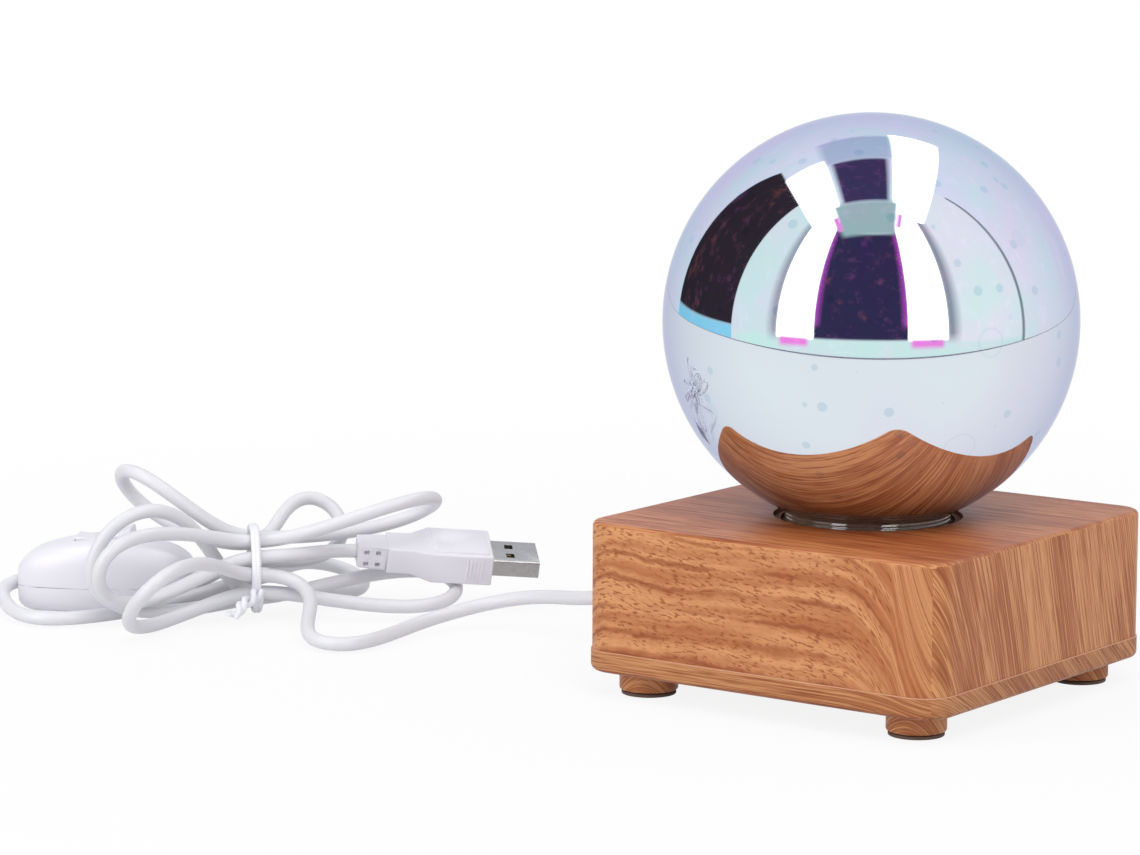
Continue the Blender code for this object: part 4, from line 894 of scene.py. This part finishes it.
def hank_point(distance, forward, height):
    """A point given by its distance along the hank, in front of it and above the floor."""
    spot = WAIST + HANK_ALONG * distance + HANK_FRONT * forward
    return Vector((spot.x, spot.y, height))


def loop_points(lane, side, length, open_along, open_front, open_up, lean_front, lean_up):
    """A loop out of one lane and back in the next one, drawn in at the tie."""
    start = lane_point(lane, side * TIE_HALF_LENGTH)
    stop = lane_point(lane + 1, side * TIE_HALF_LENGTH)
    opening = (HANK_ALONG * open_along + HANK_FRONT * open_front + UP * open_up) * MM
    lean = (HANK_FRONT * lean_front + UP * lean_up) * MM
    points = []
    for step in range(LOOP_POINTS + 1):
        angle = pi * step / LOOP_POINTS
        out = max(0.0, sin(angle))
        across = (stop + start) / 2 - (stop - start) / 2 * cos(angle)
        opened = opening * (OPENING_SHARE * cos(angle) * out ** OPENING_POWER)
        points.append(across + HANK_ALONG * (side * length * MM * out) + opened + lean * out ** LEAN_POWER)
    return points


def smooth_line(points):
    """A dense smooth curve through given points."""
    whole = [2 * points[0] - points[1], *points, 2 * points[-1] - points[-2]]
    dense = []
    for before, start, stop, after in zip(whole, whole[1:], whole[2:], whole[3:]):
        for step in range(10):
            t = step / 10
            dense.append(0.5 * (2 * start + (stop - before) * t
                                + (2 * before - 5 * start + 4 * stop - after) * t ** 2
                                + (3 * start - before - 3 * stop + after) * t ** 3))
    return dense + [points[-1]]


def line_length(points):
    return sum((b - a).length for a, b in zip(points, points[1:]))


def even_line(dense, spacing):
    """Points at even distances along a line."""
    total = line_length(dense)
    count = max(2, round(total / spacing))
    even = [dense[0]]
    walked = 0.0
    for a, b in zip(dense, dense[1:]):
        stretch = (b - a).length
        while len(even) < count and walked + stretch >= total * len(even) / count:
            even.append(a.lerp(b, (total * len(even) / count - walked) / stretch))
        walked += stretch
    return even + [dense[-1]]


def eased_line(points):
    """The same line with its bends spread out, as a cord's stiffness does."""
    points = even_line(points, LINE_SPACING)
    for _ in range(EASE_PASSES):
        inner = [a / 4 + b / 2 + c / 4 for a, b, c in zip(points, points[1:], points[2:])]
        points = [points[0], *inner, points[-1]]
    return points


def cord_curve(name, points, diameter, finish):
    """One round cord along a line of points."""
    data = bpy.data.curves.new(name, "CURVE")
    data.dimensions = "3D"
    data.bevel_depth = diameter / 2
    data.bevel_resolution = 5
    data.use_fill_caps = True
    spline = data.splines.new("POLY")
    spline.points.add(len(points) - 1)
    for row, point in zip(spline.points, points):
        row.co = (*point, 1.0)
    spline.use_smooth = True
    cord = bpy.data.objects.new(name, data)
    bpy.context.scene.collection.objects.link(cord)
    data.materials.append(finish)
    return cord


def cord_vinyl():
    return skinned_finish("white cord vinyl", bpy.context.scene.night_lead.cord_white, 0.36, 0.05, 0.6, 0.015)


class NIGHTLIGHT_OT_lead(bpy.types.Operator):
    """The two cords of the lead through the hank, and the twist tie round it"""
    bl_idname = "nightlight.lead"
    bl_label = "Lead"

    def execute(self, context):
        base_line, plug_line = self.base_route(), self.plug_route()
        strands = [point - WAIST for point in base_line + plug_line]
        strands = [strand for strand in strands if abs(strand.dot(HANK_ALONG)) < LINE_SPACING]
        base_line = even_line(smooth_line(base_line), DRAWN_SPACING)
        plug_line = even_line(smooth_line(plug_line), DRAWN_SPACING)
        base_cord = cord_curve("lead_base_to_switch", base_line, CORD_SHOWN, cord_vinyl())
        plug_cord = cord_curve("lead_switch_to_plug", plug_line, CORD_SHOWN, cord_vinyl())
        for cord, nodes in (
                (base_cord, ("cord_to_base", "cord_hank_base_side", "cord_to_switch_far_end")),
                (plug_cord, ("cord_to_switch_near_end", "cord_hank_plug_side", "cord_to_plug"))):
            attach(cord, "base")
            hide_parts(*nodes)
        tie = self.tie(context.scene.night_lead.tie_width, strands)
        return {"FINISHED"}

    def base_route(self):
        """From the base, through four loops, to the far end of the switch."""
        gap = TIE_HALF_LENGTH
        from_base = [CORD_EXIT, CORD_EXIT - Vector((CORD_DIAMETER, 0, 0))] + BASE_STRETCH
        from_base += [hank_point(*row) for row in HANK_APPROACH]
        line = smooth_line(from_base + [lane_point(0, gap + 4.0 * MM), lane_point(0, gap)])
        for row in BASE_SIDE_LOOPS:
            line += loop_points(*row)
        end = SWITCH_LENGTH / 2 + FITTING_GAP
        to_switch = [lane_point(4, -gap)] + [hank_point(*row) for row in SWITCH_STRETCH]
        to_switch += [SWITCH_MIDDLE - SWITCH_AXIS * (end + 1.55 * MM), SWITCH_MIDDLE - SWITCH_AXIS * end]
        return eased_line(line + smooth_line(to_switch))

    def plug_route(self):
        """From the near end of the switch, through four loops, to the plug."""
        gap = TIE_HALF_LENGTH
        end = SWITCH_LENGTH / 2 + FITTING_GAP
        line = smooth_line([
            SWITCH_MIDDLE + SWITCH_AXIS * end, SWITCH_MIDDLE + SWITCH_AXIS * (end + 2.75 * MM),
            lane_point(5, -gap - 2.5 * MM), lane_point(5, -gap)])
        for row in PLUG_SIDE_LOOPS:
            line += loop_points(*row)
        tail = PLUG_TAIL - PLUG_AXIS * FITTING_GAP
        return eased_line(line + smooth_line([
            lane_point(9, gap), lane_point(9, gap + CORD_DIAMETER), tail - PLUG_AXIS * CORD_DIAMETER, tail]))

    def tie(self, wire, strands):
        """Two turns of paper-covered wire round the strands, its ends twisted together."""
        room = (CORD_SHOWN + wire) / 2 + 0.2 * MM
        knot_angle = radians(112)
        turns, steps = 2, 40
        tail_points, tail_turns = 30, 1.7

        def round_strands(angle, shift):
            outwards = HANK_FRONT * sin(angle) + UP * cos(angle)
            reach = max(strand.dot(outwards) for strand in strands)
            return WAIST + HANK_ALONG * shift + outwards * (reach + room)

        wound = []
        for step in range(turns * steps + 1):
            shift = (step / (turns * steps) - 0.5) * 1.1 * wire
            wound.append(round_strands(knot_angle - 2 * pi * step / steps, shift))
        knot = round_strands(knot_angle, 0.0) + HANK_FRONT * (0.9 * wire)
        tail = (HANK_FRONT * 0.55 - HANK_ALONG * 0.8 - UP * 0.55).normalized()
        aside = tail.cross(UP).normalized()
        over = aside.cross(tail).normalized()
        swing = 0.62 * wire

        def tail_end(phase, length):
            """One end of the wire, winding round the other one along the tail."""
            row = []
            for step in range(tail_points):
                share = step / (tail_points - 1)
                angle = phase + 2 * pi * tail_turns * share
                row.append(knot + tail * (length * share) + aside * (swing * cos(angle))
                           + over * (swing * sin(angle)))
            return row

        line = list(reversed(tail_end(0.0, 9.5 * MM))) + wound + tail_end(pi, 11.0 * MM)
        paper = skinned_finish("tie paper", (0.84, 0.84, 0.87), 0.5, 0.1, 2.0, 0.04)
        activate(cord_curve("twist_tie_wire", even_line(line, 0.5 * MM), wire, paper))
        bpy.ops.object.convert(target="MESH")
        return settle(bpy.context.object, "base", [paper], ["twist_tie"], 60)


# Globe

class NIGHTLIGHT_OT_globe(bpy.types.Operator):
    """The coated ball with its clear threaded neck"""
    bl_idname = "nightlight.globe"
    bl_label = "Globe"

    def execute(self, context):
        settings = context.scene.night_globe
        globe = new_ball("coated_globe", BALL_RADIUS, (0, 0, BALL_CENTRE), settings.segments)
        shoulder = BALL_CENTRE - (BALL_RADIUS ** 2 - NECK_RADIUS ** 2) ** 0.5
        pick_all(globe)
        bpy.ops.mesh.bisect(plane_co=(0, 0, settings.coat_edge), plane_no=UP)
        pick_all(globe)
        bpy.ops.mesh.bisect(plane_co=(0, 0, shoulder), plane_no=UP, clear_inner=True)
        pick(globe, "edges", lambda edge: edge.is_boundary)
        steps = [(THREAD_TOP, NECK_RADIUS)]
        for turn in range(THREAD_TURNS):
            top = THREAD_TOP - turn * THREAD_PITCH
            steps += [(top - down * THREAD_PITCH, wide) for down, wide in THREAD_SHAPE]
        steps.append((GLOBE_LOW.z, NECK_RADIUS))
        level, radius = shoulder, NECK_RADIUS
        for height, wide in steps:
            bpy.ops.mesh.extrude_edges_move(TRANSFORM_OT_translate={"value": (0, 0, height - level)})
            share = wide / radius
            bpy.ops.transform.resize(value=(share, share, 1.0), center_override=(0, 0, height))
            level, radius = height, wide
        done(globe)
        recalculate(globe)
        for face in globe.data.polygons:
            face.material_index = 0 if face.center.z > settings.coat_edge else 1
        modify(globe, "SOLIDIFY", thickness=settings.wall, offset=-1.0)
        settle(globe, "globe", [mirror_coat(), clear_glass()], ["glass_globe"], 40)
        return {"FINISHED"}


# Base

class NIGHTLIGHT_OT_base(bpy.types.Operator):
    """Wood-look housing, bottom plate, feet and pads"""
    bl_idname = "nightlight.base"
    bl_label = "Base"

    def execute(self, context):
        settings = context.scene.night_base
        self.housing(settings)
        self.plate(settings)
        self.feet()
        return {"FINISHED"}

    def housing(self, settings):
        """A box open below, with the holes for the neck and the lead."""
        housing = new_block("wood_housing", HOUSING_LOW, HOUSING_HIGH)
        bevel(housing, settings.corner - HOUSING_INSET, 14, upright)
        bevel(housing, settings.top_rounding, 6, lambda edge: at_height(edge, HOUSING_HIGH.z))
        pick(housing, "faces", lambda face: at_height(face, HOUSING_LOW.z))
        bpy.ops.mesh.delete(type="FACE")
        done(housing)
        slice_up(housing, 2 * MM)
        modify(housing, "SOLIDIFY", thickness=settings.wall, offset=-1.0)
        cut_out(housing, new_drum("neck_hole", settings.hole_radius, HOUSING_HIGH.z - 8 * MM,
                                  HOUSING_HIGH.z + 2 * MM, sides=96))
        deselect()
        bpy.ops.mesh.primitive_cylinder_add(vertices=40, radius=LEAD_HOLE_RADIUS, depth=8 * MM,
                                            location=(HOUSING_LOW.x, 0, CORD_EXIT.z), rotation=(0, pi / 2, 0))
        cut_out(housing, started("lead_hole"))
        store_grain(housing, lambda spot, normal: grain_at(spot, normal, 1.0))
        settle(housing, "base", [wood_finish("wood film, housing", 3.0)], ["base_housing"], 30)

    def plate(self, settings):
        """The bottom plate, with a painted highlight: its upper edge in a lighter film-edge colour."""
        top = HOUSING_LOW.z
        plate = new_block("wood_plate", PLATE_LOW, (*PLATE_HIGH.xy, top))
        bevel(plate, settings.corner, 14, upright)
        bevel(plate, settings.plate_rounding, 6, lambda edge: at_height(edge, PLATE_LOW.z))
        bevel(plate, PLATE_TOP_BAND, 3, lambda edge: at_height(edge, top))
        slice_up(plate, 3 * MM)
        store_grain(plate, lambda spot, normal: grain_at(spot, normal, 7.0))
        # Painted highlight: faces along the upper edge get the lighter colour, standing in for the light that
        # the edge catches.
        for face in plate.data.polygons:
            if face.center.z > top - PLATE_TOP_BAND and face.normal.z < 0.99:
                face.material_index = 1
        wood = wood_finish("wood film, plate", 60.0, 0.84)
        edge = skinned_finish("film edge", (0.56, 0.29, 0.165), 0.4, 0.1, 1.0, 0.02)
        settle(plate, "base", [wood, edge], ["base_plate"], 30)

    def feet(self):
        """Round feet with a dark pad under each."""
        wood = wood_finish("wood film, feet", 90.0)
        rubber = skinned_finish("foot pad rubber", (0.12, 0.07, 0.05), 0.75, 0.3, 3.0, 0.05)
        low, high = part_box("foot_0")
        pad_low, pad_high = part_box("foot_pad_0")
        for index, spot in enumerate(FOOT_SPOTS):
            foot = new_drum(f"wood_foot_{index}", FOOT_RADIUS, low.z, high.z, spot, 72)
            bevel(foot, FOOT_ROUNDING, 5, lambda edge: at_height(edge, low.z, high.z))
            store_grain(foot, lambda point, normal: self.foot_grain(point, spot, index))
            settle(foot, "base", [wood], [f"foot_{index}"], 40)
            pad = new_drum(f"rubber_pad_{index}", PAD_RADIUS, pad_low.z, pad_high.z, spot, 64)
            bevel(pad, PAD_ROUNDING, 3, lambda edge: at_height(edge, pad_low.z, pad_high.z))
            settle(pad, "base", [rubber], [f"foot_pad_{index}"], 40)

    def foot_grain(self, point, spot, index):
        """Arched straight grain, from another part of the film on each foot."""
        x, y = (point.x - spot[0]) / MM, (point.y - spot[1]) / MM
        sweep = (x + 0.6 * y + index) / 4.0
        return 2 * x, 6.0 * (point.z / MM + sweep * sweep) + 3 * y + 80 * index, 1.0


# Switch

class NIGHTLIGHT_OT_switch(bpy.types.Operator):
    """The in-line switch: two halves of its case and the rocker"""
    bl_idname = "nightlight.switch"
    bl_label = "Switch"

    def execute(self, context):
        white = context.scene.night_lead.plastic_white
        plastic = skinned_finish("switch plastic", white, 0.32, 0.04, 0.5, 0.02)
        self.case("switch_top", 1, plastic, "switch_upper_case")
        self.case("switch_bottom", -1, plastic, "switch_lower_case")
        self.rocker(plastic)
        return {"FINISHED"}

    def case(self, name, side, plastic, node):
        """A pillow-shaped half of the case."""
        case = new_block(name, (-1, -1, -1), (1, 1, 1))
        pick_all(case)
        bpy.ops.mesh.subdivide(number_cuts=23)
        done(case)
        half = SWITCH_LENGTH / 2
        for vertex in case.data.vertices:
            share = sin(pi / 2 * vertex.co.x)
            y, z = vertex.co.y, vertex.co.z
            edge = max(abs(y), abs(z))
            squared = max(1e-6, (y ** 4 + z ** 4) ** 0.25)
            past = max(0.0, 1 - (1 - abs(share)) * half / SWITCH_END_ROUNDING)
            drawn_in = 1 - SWITCH_END_DRAW * (1 - (1 - past ** 2) ** 0.5)
            width = SWITCH_WIDTH - (SWITCH_WIDTH - SWITCH_END_WIDTH) * share ** 2
            height = SWITCH_HEIGHT - (SWITCH_HEIGHT - SWITCH_END_HEIGHT) * share ** 2
            level = height / 2 * (1 + z / squared * edge)
            vertex.co = (half * share, width / 2 * y / squared * edge * drawn_in,
                         SWITCH_SPLIT + (level - SWITCH_SPLIT) * drawn_in)
        split = SWITCH_SPLIT + side * SWITCH_SPLIT_GAP
        pick_all(case)
        bpy.ops.mesh.bisect(plane_co=(0, 0, split), plane_no=(0, 0, side), clear_inner=True, use_fill=True)
        done(case)
        rim = sharper_than(40)
        bevel(case, SWITCH_RIM, 2, lambda edge: at_height(edge, split) and rim(edge))
        if side > 0:
            window = block_mm("rocker_window", (-8.1, -5.1, 13.5), (8.1, 5.1, 24))
            cut_out(case, bevel(window, 0.8 * MM, 4, upright))
        case.data.transform(SWITCH_PLACE)
        settle(case, "base", [plastic], [node], 35)

    def rocker(self, plastic):
        """Rocker with a hollow top, tipped to one end as at rest."""
        length, width, top = ROCKER_HALF_LENGTH, ROCKER_HALF_WIDTH, ROCKER_RISE
        rocker = new_block("switch_rocker_cap", (-length, -width, -ROCKER_DEPTH), (length, width, top))
        pick_all(rocker)
        bpy.ops.mesh.subdivide(number_cuts=9)
        done(rocker)
        for vertex in rocker.data.vertices:
            if vertex.co.z > 0:
                share = abs(vertex.co.x) / length
                vertex.co.z += ROCKER_HOLLOW * share ** 1.5 * min(1.0, vertex.co.z / top)
        bevel(rocker, 0.45 * MM, 3, sharper_than(50))
        tipped = Matrix.Translation((0, 0, ROCKER_PIVOT)) @ Matrix.Rotation(ROCKER_TIP, 4, "Y")
        rocker.data.transform(SWITCH_PLACE @ tipped)
        settle(rocker, "rocker", [plastic], ["switch_rocker"], 35)


# Plug

class NIGHTLIGHT_OT_plug(bpy.types.Operator):
    """The USB plug: moulded grip and steel shell"""
    bl_idname = "nightlight.plug"
    bl_label = "Plug"

    def execute(self, context):
        settings = context.scene.night_lead
        self.grip(skinned_finish("plug plastic", settings.plastic_white, 0.42, 0.04, 1.0, 0.02))
        self.shell(brushed_steel(settings.shell_steel))
        return {"FINISHED"}

    def grip(self, plastic):
        """Grip drawn out from its strain relief, with a raised panel, a dimple and ridges."""
        rear, flare, wide, front = 7.6 * MM, 14.25 * MM, 19.23 * MM, 35.3 * MM
        level, half_width, half_height = rear, 3.9, 3.0
        grip = block_mm("plug_moulding", (0, -half_width, -half_height), (7.6, half_width, half_height))
        stages = ((rear, 4.2, 3.3), (rear + 0.3 * MM, 5.2, 3.6), (flare, 5.2, 3.6), (wide, 8.0, 4.2),
                  (front, 8.0, 4.2))
        pick(grip, "faces", lambda face: face.normal.x > 0.9)
        for reach, next_width, next_height in stages:
            if reach > level:
                bpy.ops.mesh.extrude_region_move(TRANSFORM_OT_translate={"value": (reach - level, 0, 0)})
            bpy.ops.transform.resize(value=(1, next_width / half_width, next_height / half_height),
                                     center_override=(reach, 0, 0))
            level, half_width, half_height = reach, next_width, next_height
        done(grip)
        bevel(grip, 1.0 * MM, 5, sharper_than(60), clamp_overlap=True)
        for side in (-1, 1):
            self.relief_slots(grip, side)
            self.ridges(grip, side)
        panel = block_mm("grip_panel", (19.6, -6.6, 3.6), (34.2, 6.6, 4.5))
        cut_out(grip, bevel(panel, 0.25 * MM, 2, lambda edge: True), "UNION")
        cut_out(grip, new_ball("thumb_dimple", 9 * MM, (23.6 * MM, 0, 13.05 * MM), 48))
        grip.data.transform(PLUG_PLACE)
        recalculate(grip)
        settle(grip, "base", [plastic], ["plug_grip"], 40)

    def relief_slots(self, grip, side):
        """Four slots in one side of the strain relief."""
        near, far = sorted((side * 2.9, side * 6))
        half_length, half_height = 0.65, 0.6
        for middle in (2.28, 5.32):
            for level in (-1.65, 1.65):
                cut_out(grip, block_mm("relief_slot", (middle - half_length, near, level - half_height),
                                       (middle + half_length, far, level + half_height)))

    def ridges(self, grip, side):
        """Five upright ridges on one side of the grip."""
        near, far = sorted((side * 7.6, side * 8.2))
        first, pitch, half = 28.6, 0.95, 0.24
        for index in range(5):
            middle = first + pitch * index
            ridge = block_mm("grip_ridge", (middle - half, near, -3.0), (middle + half, far, 3.0))
            cut_out(grip, bevel(ridge, 0.12 * MM, 2, lambda edge: True), "UNION")

    def shell(self, steel):
        """Folded sheet shell with two square holes above and below."""
        sheet, fold = 0.3 * MM, 0.45 * MM
        shell = block_mm("plug_steel_shell", (31.3, -6.0, -2.25), (47.8, 6.0, 2.25))
        bevel(shell, fold, 4, lambda edge: abs(edge.verts[0].co.x - edge.verts[1].co.x) > MM)
        pick(shell, "faces", lambda face: abs(face.normal.x) > 0.9)
        bpy.ops.mesh.delete(type="FACE")
        done(shell)
        modify(shell, "SOLIDIFY", thickness=sheet, offset=-1.0)
        for y in (-2.5, 2.5):
            cut_out(shell, block_mm("shell_hole", (39.2, y - 1.1, -5), (41.4, y + 1.1, 5)))
        shell.data.transform(PLUG_PLACE)
        settle(shell, "base", [steel], ["plug_shell"], 40)


# Pieces that keep their CAD shape

class NIGHTLIGHT_OT_inner_pieces(bpy.types.Operator):
    """Finishes of the pieces that keep their CAD shape"""
    bl_idname = "nightlight.inner_pieces"
    bl_label = "Inner pieces"

    def execute(self, context):
        white = context.scene.night_lead.plastic_white
        metal = {"Metallic": 1.0}
        finishes = (
            # Painted light: the socket is mid-brown rather than its own dark plastic, so the shaded gap round
            # the neck reads lighter.
            (skinned_finish("socket plastic", (0.30, 0.125, 0.055), 0.6, 0.2, 1.5, 0.03,
                            Specular_IOR_Level=0.15), ("neck_socket", "board_stand")),
            (skinned_finish("gasket rubber", (0.04, 0.035, 0.035), 0.7, 0.25, 2.0, 0.04), ("neck_gasket",)),
            (skinned_finish("screw steel", (0.56, 0.55, 0.54), 0.3, 0.12, 1.0, 0.02, **metal),
             ("foot_screw_", "socket_screw_", "board_screw_", "switch_screw_")),
            (skinned_finish("contact brass", (0.72, 0.52, 0.24), 0.28, 0.12, 0.6, 0.01, **metal),
             ("switch_terminal_", "switch_bridge", "plug_contact_")),
            (skinned_finish("inner white plastic", white, 0.45, 0.05, 1.0, 0.02),
             ("cord_grommet", "plug_tongue")),
            (cord_vinyl(), ("cord_tail_inside",)),
            (skinned_finish("board lacquer", (0.80, 0.80, 0.76), 0.3, 0.06, 0.5, 0.01), ("light_board",)),
            (skinned_finish("chip lens", (0.82, 0.70, 0.30), 0.25, 0.15, 0.5, 0.02), ("light_chip_",)),
            (skinned_finish("red wire", (0.55, 0.03, 0.025), 0.38, 0.1, 0.6, 0.01), ("wire_red",)),
            (skinned_finish("black wire", (0.02, 0.02, 0.02), 0.38, 0.2, 0.6, 0.01), ("wire_black",)),
        )
        for finish, starts in finishes:
            for name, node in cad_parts.items():
                if name.startswith(starts):
                    node.data.materials.clear()
                    node.data.materials.append(finish)
        return {"FINISHED"}


class NIGHTLIGHT_PT_panel(bpy.types.Panel):
    """Sizes and colours, and the steps in order"""
    bl_idname = "NIGHTLIGHT_PT_panel"
    bl_label = "Ball night light"
    bl_space_type = "VIEW_3D"
    bl_region_type = "UI"
    bl_category = "Night light"

    def draw(self, context):
        for name in SETTINGS:
            settings = getattr(context.scene, name)
            box = self.layout.box()
            box.label(text=name.removeprefix("night_").title())
            for key in settings.__annotations__:
                box.prop(settings, key)
        for step in STEPS:
            self.layout.operator(step.bl_idname)


SETTINGS = {"night_stage": StageSettings, "night_base": BaseSettings, "night_globe": GlobeSettings,
            "night_lead": LeadSettings}
STEPS = (NIGHTLIGHT_OT_stage, NIGHTLIGHT_OT_switch, NIGHTLIGHT_OT_plug, NIGHTLIGHT_OT_lead,
         NIGHTLIGHT_OT_globe, NIGHTLIGHT_OT_base, NIGHTLIGHT_OT_inner_pieces)
CLASSES = (*SETTINGS.values(), *STEPS, NIGHTLIGHT_PT_panel)


def register():
    for kind in CLASSES:
        bpy.utils.register_class(kind)
    for name, kind in SETTINGS.items():
        setattr(bpy.types.Scene, name, PointerProperty(type=kind))


def unregister():
    for name in SETTINGS:
        delattr(bpy.types.Scene, name)
    for kind in reversed(CLASSES):
        bpy.utils.unregister_class(kind)


def main():
    register()
    bpy.ops.nightlight.stage()
    bpy.ops.nightlight.switch()
    bpy.ops.nightlight.plug()
    bpy.ops.nightlight.lead()
    bpy.ops.nightlight.globe()
    bpy.ops.nightlight.base()
    bpy.ops.nightlight.inner_pieces()


if __name__ == "__main__":
    main()
